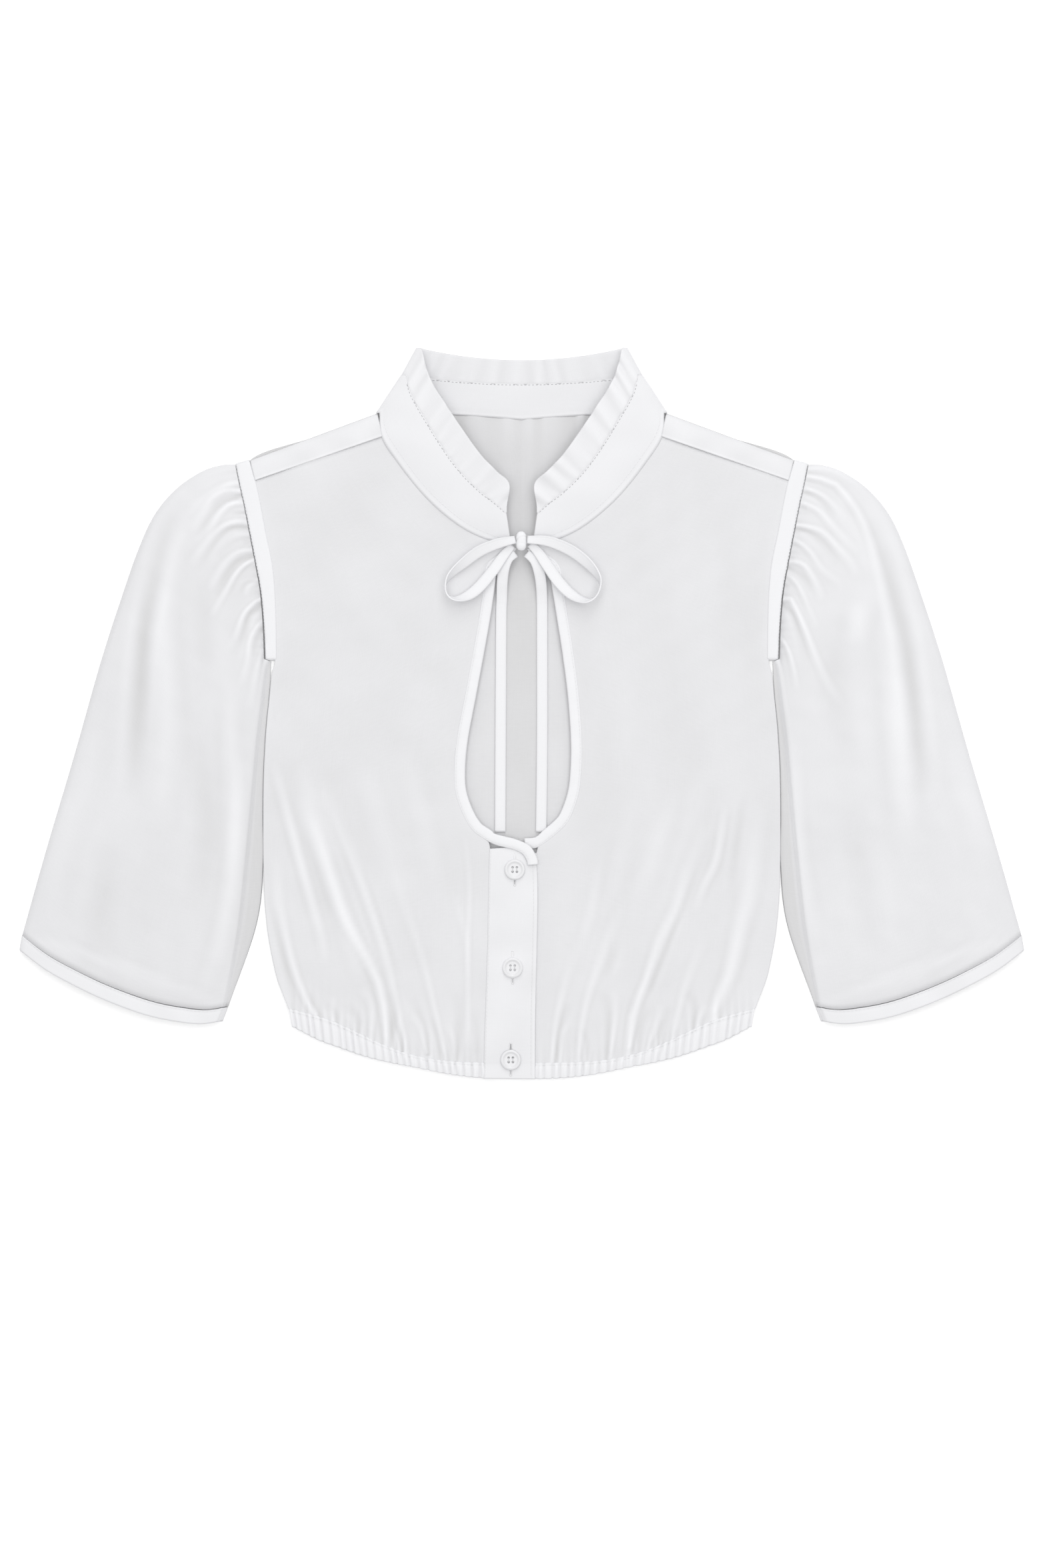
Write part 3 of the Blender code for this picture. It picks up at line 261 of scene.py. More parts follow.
TIE_TAIL = {
    "right": (
        (-4.4, 112.4, 8.0, 0.0, 5.5),
        (-9.4, 108.6, 8.0, 0.0, 6.5),
        (-12.6, 101.4, 7.4, 0.0, 7.5),
        (-13.8, 92.0, 5.4, 0.0, 7.5),
        (-14.2, 80.0, 2.6, 0.0, 7.5),
        (-14.6, 64.0, 1.9, 0.0, 7.5),
        (-15.0, -19.3, 1.9, 0.0, 7.5),
        (-15.3, -83.6, 1.9, 0.0, 7.5),
    ),
    "left": (
        (3.4, 112.4, 8.0, 0.0, 5.5),
        (8.8, 107.4, 8.0, 0.0, 6.5),
        (12.0, 100.1, 7.4, 0.0, 7.5),
        (13.6, 91.0, 5.4, 0.0, 7.5),
        (14.2, 80.0, 2.6, 0.0, 7.5),
        (14.3, 64.0, 1.9, 0.0, 7.5),
        (14.3, -19.3, 1.9, 0.0, 7.5),
        (13.6, -83.6, 1.9, 0.0, 7.5),
    ),
}
KNOT_CENTRE = (-0.4, 120.9, 12.0)
KNOT_HALF = (4.1, 6.8, 3.5)

BUTTON_PLACES = ((-5.0, -110.0), (-6.5, -179.1), (-7.8, -243.9))
BUTTON_SEAT_Z = 6.1
BUTTON_RADIUS = 7.0
BUTTON_THICKNESS = 1.9
BUTTON_HOLE_RADIUS = 0.85
BUTTON_HOLE_PLACES = (-1.5, 1.5)
# Steps of the button's face from its edge inwards, columns: inset, lift
BUTTON_FACE = ((0.45, 0.28), (0.8, 0.10), (0.55, -0.30), (0.6, -0.42), (0.5, -0.10))

# Studio: light of the white surroundings, and how much the floor glows so that no shadow shows
WORLD_LIGHT = 0.62
FLOOR_GLOW = 0.22
LENS = 110.0
SENSOR_HEIGHT = 36.0

# Creases of each panel. A crease stands highest where its points begin when it
# springs from a seam, and in its middle when it lies free.
# Columns: points (x, y) along the crest, half width, height, painted highlight on the crest with painted
# shade on its flanks (painted shade where negative), kind
FRONT_CREASES = {
    "right": (
        (((174, -38), (164, -76), (152, -120), (142, -155), (139, -173)), 4.0, 0.7, 0.30, "free"),
        (((163, -49), (146, -85), (128, -137), (114, -164), (100, -194), (94, -236)),
         4.5, 1.5, 0.45, "hem"),
        (((124, -85), (114, -118), (102, -153), (92, -188), (81, -240)), 3.4, 0.9, 0.26, "hem"),
        (((93, -103), (84, -132), (72, -167), (63, -202), (54, -243)), 3.2, 1.0, 0.22, "hem"),
        (((174, -96), (171, -137), (162, -176), (151, -204), (146, -212)), 3.8, 1.1, 0.36, "hem"),
        (((155, -42), (149, -67), (138, -103), (124, -149), (114, -184)), 7.0, 0.8, 0.24, "free"),
        (((40, -89), (37, -120), (38, -167), (38, -240)), 2.4, 0.4, 0.16, "free"),
        (((48, -129), (40, -155), (38, -184)), 3.0, 0.4, 0.10, "free"),
        (((133, -199), (134, -207), (133, -219)), 2.6, 1.1, 0.30, "hem"),
        (((114, -192), (106, -206), (106, -230)), 2.8, 1.2, 0.32, "hem"),
        (((78, -212), (71, -221), (67, -239)), 2.4, 1.1, 0.30, "hem"),
        (((53, -219), (48, -230), (47, -244)), 2.2, 1.0, 0.26, "hem"),
        (((150, -40), (128, -90), (110, -128)), 9.0, 0.6, 0.10, "free"),
        (((112, -40), (96, -92), (86, -120)), 9.0, 0.5, 0.08, "free"),
        (((84, -20), (68, -84), (58, -130)), 8.0, 0.4, 0.07, "free"),
    ),
    "left": (
        (((133, -73), (116, -113), (108, -140), (98, -157), (88, -188), (78, -212), (74, -242)),
         4.2, 1.5, 0.42, "hem"),
        (((75, -127), (60, -160), (51, -186), (44, -210), (39, -245)), 3.4, 1.0, 0.26, "hem"),
        (((143, -68), (137, -103), (129, -120), (123, -136)), 3.4, 0.7, 0.26, "free"),
        (((167, -52), (163, -96), (160, -126), (153, -155), (147, -182), (137, -207), (134, -222)),
         6.5, 1.3, 0.40, "hem"),
        (((129, -157), (117, -187), (111, -207), (106, -232)), 3.2, 1.0, 0.24, "hem"),
        (((37, -169), (29, -195), (24, -221), (21, -246)), 2.8, 0.9, 0.30, "hem"),
        (((36, -216), (28, -226), (27, -246)), 2.2, 0.9, 0.26, "hem"),
        (((86, -193), (81, -212), (75, -240)), 2.4, 1.0, 0.22, "hem"),
        (((64, -194), (66, -208), (62, -243)), 2.6, 1.1, 0.28, "hem"),
        (((130, -205), (125, -214), (122, -226)), 2.4, 1.1, 0.28, "hem"),
        (((98, -204), (96, -214), (88, -238)), 2.4, 1.0, 0.26, "hem"),
        (((55, -103), (48, -143), (37, -173)), 4.5, 0.5, 0.10, "free"),
        (((106, -60), (92, -104), (78, -140)), 8.0, 0.6, 0.10, "free"),
        (((128, -40), (118, -80), (108, -110)), 9.0, 0.5, 0.08, "free"),
        (((80, -60), (70, -100), (60, -140)), 7.0, 0.4, 0.07, "free"),
    ),
}
# Hollows between the creases, in the same columns: negative height, with painted shade in them
FRONT_POCKETS = {
    "right": (
        (((95, -195), (90, -207), (93, -234)), 4.0, -0.9, -0.34, "hem"),
        (((78, -198), (69, -221), (66, -240)), 3.2, -0.8, -0.30, "hem"),
        (((45, -195), (44, -214), (46, -243)), 4.5, -0.7, -0.26, "hem"),
        (((138, -204), (131, -212), (130, -221)), 3.0, -0.8, -0.30, "hem"),
        (((124, -205), (116, -214), (115, -226)), 3.4, -0.8, -0.30, "hem"),
        (((88, -219), (85, -228), (84, -239)), 2.2, -0.9, -0.42, "hem"),
        (((151, -196), (145, -207), (140, -216)), 3.4, -0.6, -0.24, "hem"),
        (((65, -212), (59, -228), (58, -243)), 2.8, -0.7, -0.28, "hem"),
        (((34, -207), (32, -226), (32, -245)), 3.0, -0.5, -0.20, "hem"),
        (((174, -139), (167, -174), (159, -206)), 4.0, -0.6, -0.20, "free"),
        (((137, -70), (114, -130), (100, -170)), 3.4, -0.3, -0.14, "free"),
        (((112, -110), (98, -150), (86, -186)), 3.0, -0.3, -0.12, "free"),
    ),
    "left": (
        (((57, -195), (61, -212), (59, -243)), 3.4, -0.8, -0.28, "hem"),
        (((34, -202), (27, -219), (24, -246)), 3.4, -0.9, -0.38, "hem"),
        (((66, -165), (62, -176), (58, -186)), 4.5, -0.4, -0.18, "free"),
        (((91, -207), (84, -219), (83, -240)), 3.2, -0.8, -0.30, "hem"),
        (((99, -215), (97, -224), (96, -234)), 2.2, -0.8, -0.34, "hem"),
        (((104, -205), (101, -218), (100, -233)), 3.0, -0.6, -0.26, "hem"),
        (((116, -195), (122, -206), (121, -222)), 3.6, -0.8, -0.30, "hem"),
        (((43, -221), (46, -232), (46, -244)), 2.4, -0.8, -0.28, "hem"),
        (((97, -172), (92, -186), (88, -198)), 3.6, -0.4, -0.20, "free"),
        (((145, -188), (140, -205), (139, -217)), 3.4, -0.6, -0.26, "hem"),
        (((122, -113), (104, -160), (92, -196)), 3.0, -0.4, -0.16, "free"),
        (((156, -60), (150, -100), (146, -130)), 4.0, -0.3, -0.12, "free"),
    ),
}
SLEEVE_CREASES = {
    "right": (
        (((198, 163), (208, 160), (219, 153), (229, 145), (235, 136)), 3.6, 1.5, 0.26, "seam"),
        (((197, 157), (208, 156), (218, 150), (226, 139), (235, 125)), 3.0, 1.6, 0.30, "seam"),
        (((195, 148), (205, 147), (213, 140), (222, 127), (231, 118)), 3.0, 1.6, 0.34, "seam"),
        (((192, 135), (204, 134), (213, 128), (222, 118), (235, 101)), 3.2, 1.8, 0.40, "seam"),
        (((190, 126), (200, 125), (209, 120), (217, 112)), 2.6, 0.9, 0.16, "seam"),
        (((188, 115), (199, 113), (208, 106), (215, 95), (220, 83)), 3.0, 1.7, 0.34, "seam"),
        (((187, 109), (193, 106), (201, 98), (208, 86), (220, 65)), 2.2, 1.6, 0.46, "seam"),
        (((184, 95), (192, 89), (195, 81)), 2.4, 1.2, 0.24, "seam"),
        (((183, 81), (189, 77), (195, 70), (199, 60), (202, 49)), 2.2, 1.7, 0.50, "seam"),
        (((181, 67), (186, 61), (191, 51), (193, 35), (199, 16)), 2.4, 1.3, 0.34, "seam"),
        (((180, 50), (184, 39), (188, 21), (192, 0)), 2.6, 0.9, 0.24, "seam"),
        (((248, 118), (252, 92), (253, 62), (251, 20), (250, -20), (254, -70)), 11.0, 1.2, 0.24, "free"),
        (((205, 20), (205, -20), (203, -60), (206, -110)), 7.0, 0.8, 0.20, "free"),
        (((196, -20), (198, -60), (203, -110), (212, -160), (222, -190)), 7.0, 0.9, 0.22, "free"),
        (((300, 0), (312, -50), (326, -100), (338, -140)), 12.0, 0.6, 0.10, "free"),
    ),
    "left": (
        (((200, 172), (216, 172), (229, 167), (241, 156)), 3.4, 1.3, 0.20, "seam"),
        (((199, 167), (219, 162), (231, 149), (239, 136), (245, 120), (252, 94), (257, 72), (263, 42)),
         3.6, 1.8, 0.34, "seam"),
        (((197, 160), (212, 152), (222, 142), (230, 133)), 3.0, 1.5, 0.30, "seam"),
        (((195, 149), (208, 143), (217, 133), (229, 120), (239, 110)), 3.0, 1.6, 0.32, "seam"),
        (((191, 133), (210, 128), (222, 116), (231, 106), (237, 92)), 3.0, 1.8, 0.38, "seam"),
        (((190, 124), (202, 114), (210, 102), (218, 95), (227, 89)), 2.6, 1.5, 0.30, "seam"),
        (((186, 108), (197, 105), (204, 96), (209, 86), (211, 76)), 2.6, 1.6, 0.42, "seam"),
        (((184, 99), (192, 93), (198, 82), (203, 70), (209, 56)), 2.2, 1.4, 0.26, "seam"),
        (((182, 81), (189, 80), (194, 70), (200, 56), (207, 38), (216, 19), (227, 2)),
         3.0, 1.7, 0.40, "seam"),
        (((180, 57), (187, 45), (191, 31), (194, 14)), 2.0, 1.3, 0.44, "seam"),
        (((179, 40), (182, 19), (185, -5)), 2.6, 0.8, 0.22, "seam"),
        (((238, 80), (236, 60), (232, 46)), 9.0, 0.8, 0.20, "free"),
        (((258, 60), (262, 20), (266, -30), (272, -90)), 10.0, 1.1, 0.24, "free"),
        (((190, -20), (192, -70), (198, -120), (206, -160)), 7.0, 0.8, 0.18, "free"),
        (((306, -20), (318, -70), (330, -110)), 11.0, 0.6, 0.10, "free"),
    ),
}
# Hollows between the sleeve's creases, in the same columns: negative height, with painted shade in them
SLEEVE_POCKETS = {
    "right": (
        (((198, 153), (212, 147), (222, 133), (227, 120)), 3.4, -1.2, -0.36, "seam"),
        (((195, 141), (205, 141)), 2.0, -0.7, -0.24, "seam"),
        (((193, 131), (208, 129), (218, 119), (226, 104)), 3.2, -1.1, -0.34, "seam"),
        (((190, 121), (197, 120)), 2.0, -0.7, -0.26, "seam"),
        (((188, 111), (200, 106), (209, 94), (216, 80)), 3.4, -1.2, -0.40, "seam"),
        (((185, 93), (194, 91), (198, 83)), 2.2, -0.9, -0.30, "seam"),
        (((183, 87), (189, 85)), 1.8, -0.6, -0.22, "seam"),
        (((183, 76), (192, 68), (196, 55), (204, 38)), 3.4, -1.1, -0.36, "seam"),
        (((181, 62), (186, 52), (189, 38)), 2.6, -0.8, -0.26, "seam"),
        (((240, 145), (248, 130), (254, 113), (260, 83), (266, 54), (270, 7), (274, -50)),
         8.0, -1.2, -0.34, "free"),
        (((226, 90), (224, 60), (222, 20)), 10.0, -0.6, -0.10, "free"),
        (((228, -20), (222, -80), (228, -140)), 12.0, -0.7, -0.14, "free"),
        (((288, -90), (296, -140), (300, -175)), 12.0, -0.4, -0.10, "free"),
    ),
    "left": (
        (((198, 156), (207, 153), (215, 146), (222, 136)), 3.0, -1.1, -0.34, "seam"),
        (((195, 145), (201, 144)), 2.0, -0.7, -0.28, "seam"),
        (((192, 131), (202, 127), (216, 115), (224, 100)), 3.4, -1.0, -0.24, "seam"),
        (((191, 128), (196, 127)), 1.8, -0.7, -0.30, "seam"),
        (((187, 112), (192, 108)), 1.8, -0.7, -0.30, "seam"),
        (((185, 104), (198, 95), (204, 82)), 3.0, -1.0, -0.28, "seam"),
        (((183, 92), (188, 88)), 1.8, -0.6, -0.22, "seam"),
        (((182, 77), (190, 70), (196, 54), (202, 34)), 3.4, -1.0, -0.30, "seam"),
        (((180, 66), (184, 62)), 1.8, -0.6, -0.24, "seam"),
        (((234, 145), (245, 130), (255, 107), (262, 83), (269, 54), (276, 7), (282, -50)),
         8.0, -1.2, -0.36, "free"),
        (((222, 60), (220, 20), (230, -40)), 12.0, -0.6, -0.12, "free"),
        (((232, -60), (240, -120), (250, -170)), 12.0, -0.5, -0.10, "free"),
    ),
}
# The back layer's hem band and the gap below it, seen through the sleeve's front
SLEEVE_GHOSTS = (
    (((349, -164), (338, -160), (320, -165), (296, -173), (265, -184), (233, -196), (212, -204)),
     4.5, 0.0, 0.16, "free"),
    (((330, -172), (300, -184), (270, -194), (240, -202), (222, -206)), 3.2, 0.0, -0.12, "free"),
)


def spread(count, start=0.0, end=1.0):
    return np.linspace(start, end, count)


def through(table, places):
    """Smooth curve through a table's rows, read at places that count in rows."""
    table = np.asarray(table, float)
    places = np.clip(np.asarray(places, float), 0, len(table) - 1)
    slopes = np.gradient(table, axis=0) if len(table) > 2 else np.tile(table[1] - table[0], (2, 1))
    first = np.minimum(places.astype(int), len(table) - 2)
    t = (places - first)[:, None]
    return (
        table[first] * (2 * t**3 - 3 * t**2 + 1)
        + table[first + 1] * (3 * t**2 - 2 * t**3)
        + slopes[first] * (t**3 - 2 * t**2 + t)
        + slopes[first + 1] * (t**3 - t**2)
    )


def even_line(points, count):
    """A smooth line through points, at even steps of its length."""
    dense = through(points, spread(40 * len(points), 0, len(points) - 1))
    steps = np.linalg.norm(np.diff(dense, axis=0), axis=1)
    lengths = np.concatenate([[0], np.cumsum(steps)])
    places = spread(count, 0, lengths[-1])
    return np.stack([np.interp(places, lengths, dense[:, i]) for i in range(dense.shape[1])], 1)


def curve_at(xs, ys, at):
    """Height of a smooth table curve at given places."""
    xs, ys, at = np.asarray(xs, float), np.asarray(ys, float), np.asarray(at, float)
    at = np.clip(at, xs[0], xs[-1])
    slopes = np.gradient(ys, xs)
    i = np.clip(np.searchsorted(xs, at, side="right") - 1, 0, len(xs) - 2)
    width = xs[i + 1] - xs[i]
    t = (at - xs[i]) / width
    return (
        ys[i] * (2 * t**3 - 3 * t**2 + 1) + ys[i + 1] * (3 * t**2 - 2 * t**3)
        + width * (slopes[i] * (t**3 - 2 * t**2 + t) + slopes[i + 1] * (t**3 - t**2))
    )


def casing_top(x):
    xs, tops, _ = zip(*CASING_EDGES)
    return curve_at(xs, tops, np.abs(x))


def casing_bottom(x):
    xs, _, bottoms = zip(*CASING_EDGES)
    return curve_at(xs, bottoms, np.abs(x))


def ripple(x, y, size, seed):
    """Soft uneven undulation between about -1 and 1, with waves of about the given size."""
    random = np.random.default_rng(seed)
    total = np.zeros_like(x)
    for _ in range(7):
        angle = random.uniform(0, math.pi)
        length = size * random.uniform(0.7, 1.7)
        phase = random.uniform(0, 2 * math.pi)
        way = x * math.cos(angle) + y * math.sin(angle)
        total += np.sin(2 * math.pi * way / length + phase)
    return total / 3.5


def step(low, high, value):
    """Smooth rise from 0 at low to 1 at high."""
    t = np.clip((value - low) / (high - low), 0, 1)
    return t * t * (3 - 2 * t)


def nearest_on(line, x, y):
    """Distance to a line in plan and the share of its length at the nearest point."""
    best = np.full(x.shape, 1e9)
    share = np.zeros(x.shape)
    for i, (a, b) in enumerate(zip(line, line[1:])):
        way = b - a
        t = np.clip(((x - a[0]) * way[0] + (y - a[1]) * way[1]) / (way @ way), 0, 1)
        distance = np.hypot(x - a[0] - t * way[0], y - a[1] - t * way[1])
        closer = distance < best
        best = np.where(closer, distance, best)
        share = np.where(closer, (i + t) / (len(line) - 1), share)
    return best, share


def add_creases(x, y, creases):
    """Height, and painted light and shade, that a list of creases adds at each place of a panel."""
    height = np.zeros_like(x)
    painted_light_and_shade = np.zeros_like(x)
    for points, width, rise, painted_shading, kind in creases:
        line = even_line(points, 14)
        reach = 3 * width
        low, high = line.min(0) - reach, line.max(0) + reach
        near = (x > low[0]) & (x < high[0]) & (y > low[1]) & (y < high[1])
        if not near.any():
            continue
        distance, share = nearest_on(line, x[near], y[near])
        if kind == "hem":
            share = 1 - share
        if kind == "free":
            fade = np.sin(math.pi * (0.04 + 0.92 * share)) ** 0.8
            spreading = 1.0
        else:
            fade = (1 - share) ** 0.75 * step(1.0, 0.9, share)
            spreading = 0.65 + 0.8 * share
        away = distance / (width * spreading)
        height[near] += rise * fade * np.exp(-away**1.6)
        # Painted highlight along the crest and painted shade on its flanks; a negative amount paints shade
        # in a hollow
        crest = np.exp(-(1.5 * away) ** 2) - 0.35 * np.exp(-(2.2 * (away - 1.25)) ** 2)
        painted_light_and_shade[near] += painted_shading * fade * crest
    return height, painted_light_and_shade


def cloth(name, grid, thickness, tone, cut, ring=False):
    """Closed thin shell of cloth about a grid of points in millimetres.

    tone is how bright the cloth looks, 0 to 1: its layers, with painted light and shade; cut is its
    flat size, which the weave follows. A ring's rows close on themselves."""
    rows, columns = grid.shape[:2]
    if ring:
        padded = np.concatenate([grid[:, -1:], grid, grid[:, :1]], axis=1)
        across = (padded[:, 2:] - padded[:, :-2])
    else:
        across = np.gradient(grid, axis=1)
    along = np.gradient(grid, axis=0)
    normal = np.cross(across, along)
    normal /= np.maximum(np.linalg.norm(normal, axis=2, keepdims=True), 1e-9)
    if ring:
        outward = (normal * (grid - grid.mean(axis=1, keepdims=True))).sum()
    else:
        outward = normal[..., 2].sum()
    if outward < 0:
        normal = -normal
    thickness = np.broadcast_to(np.asarray(thickness, float), (rows, columns))[..., None]
    points = np.concatenate([
        (grid + normal * thickness / 2).reshape(-1, 3),
        (grid - normal * thickness / 2).reshape(-1, 3),
    ])
    number = np.arange(rows * columns).reshape(rows, columns)
    if ring:
        number = np.concatenate([number, number[:, :1]], axis=1)
    a, b = number[:-1, :-1].ravel(), number[:-1, 1:].ravel()
    c, d = number[1:, 1:].ravel(), number[1:, :-1].ravel()
    top = np.stack([a, b, c, d], 1)
    centre = points[top[:, 1]] - points[top[:, 0]]
    other = points[top[:, 3]] - points[top[:, 0]]
    facing = (np.cross(centre, other) * normal.reshape(-1, 3)[top[:, 0]]).sum()
    if facing < 0:
        top = top[:, ::-1]
    under = top[:, ::-1] + rows * columns
    if ring:
        loops = [number[0], number[-1]]
    else:
        loops = [np.concatenate([
            number[0], number[1:, -1], number[-1, -2::-1], number[-2::-1, 0],
        ])]
    rims = []
    for loop in loops:
        first, second = loop[:-1], loop[1:]
        rims.append(np.stack([first, second, second + rows * columns, first + rows * columns], 1))
    directed = set(map(tuple, np.concatenate([top[:, (i, (i + 1) % 4)] for i in range(4)]).tolist()))
    rims = [rim[:, ::-1] if (rim[0, 0], rim[0, 1]) in directed else rim for rim in rims]
    faces = np.concatenate([top, under, *rims])
    mesh = bpy.data.meshes.new(name)
    mesh.from_pydata((points * MM).tolist(), [], faces.tolist())
    piece = bpy.data.objects.new(name, mesh)
    bpy.context.scene.collection.objects.link(piece)
    smooth = np.ones(len(faces), bool)
    smooth[len(top) + len(under):] = False
    mesh.polygons.foreach_set("use_smooth", smooth)
    u, v = np.meshgrid(spread(columns, 0, cut[0]), spread(rows, 0, cut[1]))
    flat = np.stack([u.ravel(), v.ravel()], 1)
    corner = np.zeros(len(mesh.loops), int)
    mesh.loops.foreach_get("vertex_index", corner)
    weave = mesh.uv_layers.new(name="weave")
    weave.data.foreach_set("uv", (flat[corner % (rows * columns)] * MM).ravel())
    tone_of_layers_and_shade = mesh.attributes.new("tone", "FLOAT", "POINT")
    values = np.broadcast_to(np.asarray(tone, float), (rows, columns)).ravel()
    tone_of_layers_and_shade.data.foreach_set("value", np.tile(values, 2).astype(np.float32))
    mesh.validate()
    return piece


def mirrored(grid, sign):
    return grid * np.array((sign, 1.0, 1.0))


def place_cloth(piece, material, node):
    """Give a cloth piece its finish, hang it on the frame's root and hide the frame part it stands in for."""
    piece.data.materials.append(material)
    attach(piece, "root")
    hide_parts(node)
    return piece


# Materials

def voile_material(name, dark, middle, bright, streak, grain):
    """Cotton voile: brightness from its tone, which holds its layers and painted light and shade, an uneven
    fine weave and slubs.
    """
    material = bpy.data.materials.new(name)
    material.use_nodes = True
    nodes, links = material.node_tree.nodes, material.node_tree.links
    shader = nodes["Principled BSDF"]
    shader.inputs["Roughness"].default_value = 0.82
    shader.inputs["Specular IOR Level"].default_value = 0.18
    shader.inputs["Sheen Weight"].default_value = 0.04
    uv = nodes.new("ShaderNodeUVMap")
    uv.uv_map = "weave"

    def threads(across, along, detail):
        mapping = nodes.new("ShaderNodeMapping")
        mapping.inputs["Scale"].default_value = (across, along, 1.0)
        links.new(uv.outputs["UV"], mapping.inputs["Vector"])
        noise = nodes.new("ShaderNodeTexNoise")
        noise.inputs["Scale"].default_value = 1.0
        noise.inputs["Detail"].default_value = detail
        noise.inputs["Roughness"].default_value = 0.55
        links.new(mapping.outputs["Vector"], noise.inputs["Vector"])
        return noise.outputs["Fac"]

    def joined(operation, first, second, amount=None):
        node = nodes.new("ShaderNodeMath")
        node.operation = operation
        links.new(first, node.inputs[0])
        if second is None:
            node.inputs[1].default_value = amount
        else:
            links.new(second, node.inputs[1])
        return node.outputs["Value"]

    warp = threads(1500.0, 90.0, 2.0)
    weft = threads(90.0, 1500.0, 2.0)
    weave = joined("ADD", warp, weft)
    cloud = threads(26.0, 22.0, 3.0)
    attribute = nodes.new("ShaderNodeAttribute")
    attribute.attribute_name = "tone"
    clouded = joined("MULTIPLY_ADD", cloud, None, grain)
    clouded.node.inputs[2].default_value = -0.5 * grain
    fine = joined("MULTIPLY_ADD", weave, None, streak)
    fine.node.inputs[2].default_value = -streak
    total = joined("ADD", joined("ADD", attribute.outputs["Fac"], clouded), fine)
    ramp = nodes.new("ShaderNodeValToRGB")
    ramp.color_ramp.interpolation = "LINEAR"
    ramp.color_ramp.elements[0].color = (*dark, 1.0)
    ramp.color_ramp.elements[1].color = (*bright, 1.0)
    centre = ramp.color_ramp.elements.new(0.5)
    centre.color = (*middle, 1.0)
    links.new(total, ramp.inputs["Fac"])
    links.new(ramp.outputs["Color"], shader.inputs["Base Color"])
    bump = nodes.new("ShaderNodeBump")
    bump.inputs["Strength"].default_value = 0.25
    bump.inputs["Distance"].default_value = 0.00012
    links.new(weave, bump.inputs["Height"])
    links.new(bump.outputs["Normal"], shader.inputs["Normal"])
    return material


def plain_material(name, colour, roughness, specular, speckle):
    """Moulded or spun finish with a faint uneven colour."""
    material = bpy.data.materials.new(name)
    material.use_nodes = True
    nodes, links = material.node_tree.nodes, material.node_tree.links
    shader = nodes["Principled BSDF"]
    shader.inputs["Roughness"].default_value = roughness
    shader.inputs["Specular IOR Level"].default_value = specular
    place = nodes.new("ShaderNodeTexCoord")
    noise = nodes.new("ShaderNodeTexNoise")
    noise.inputs["Scale"].default_value = speckle
    noise.inputs["Detail"].default_value = 3.0
    links.new(place.outputs["Object"], noise.inputs["Vector"])
    ramp = nodes.new("ShaderNodeValToRGB")
    ramp.color_ramp.elements[0].color = (*(0.93 * c for c in colour), 1.0)
    ramp.color_ramp.elements[1].color = (*colour, 1.0)
    links.new(noise.outputs["Fac"], ramp.inputs["Fac"])
    links.new(ramp.outputs["Color"], shader.inputs["Base Color"])
    return material


DARK = (0.615, 0.613, 0.616)
MIDDLE = (0.742, 0.742, 0.756)
BRIGHT = (0.862, 0.863, 0.880)
sheer_voile = voile_material("sheer voile", DARK, MIDDLE, BRIGHT, 0.13, 0.07)
double_voile = voile_material("double voile", DARK, MIDDLE, BRIGHT, 0.09, 0.06)
button_plastic = plain_material("button plastic", (0.80, 0.80, 0.815), 0.28, 0.5, 260.0)
thread = plain_material("sewing thread", (0.80, 0.80, 0.81), 0.6, 0.3, 900.0)
# Dark grey stitches on the gathered ruffle and armhole seams: real stitches whose dark colour is painted
# shade of the gathers
painted_stitch_shade = plain_material("stitch shade", (0.42, 0.42, 0.43), 0.7, 0.2, 900.0)
# The buttonhole's slit is a dark bar: painted shade in the cut
slit_shade = plain_material("buttonhole slit shade", (0.40, 0.40, 0.41), 0.9, 0.1, 500.0)


# Front panels

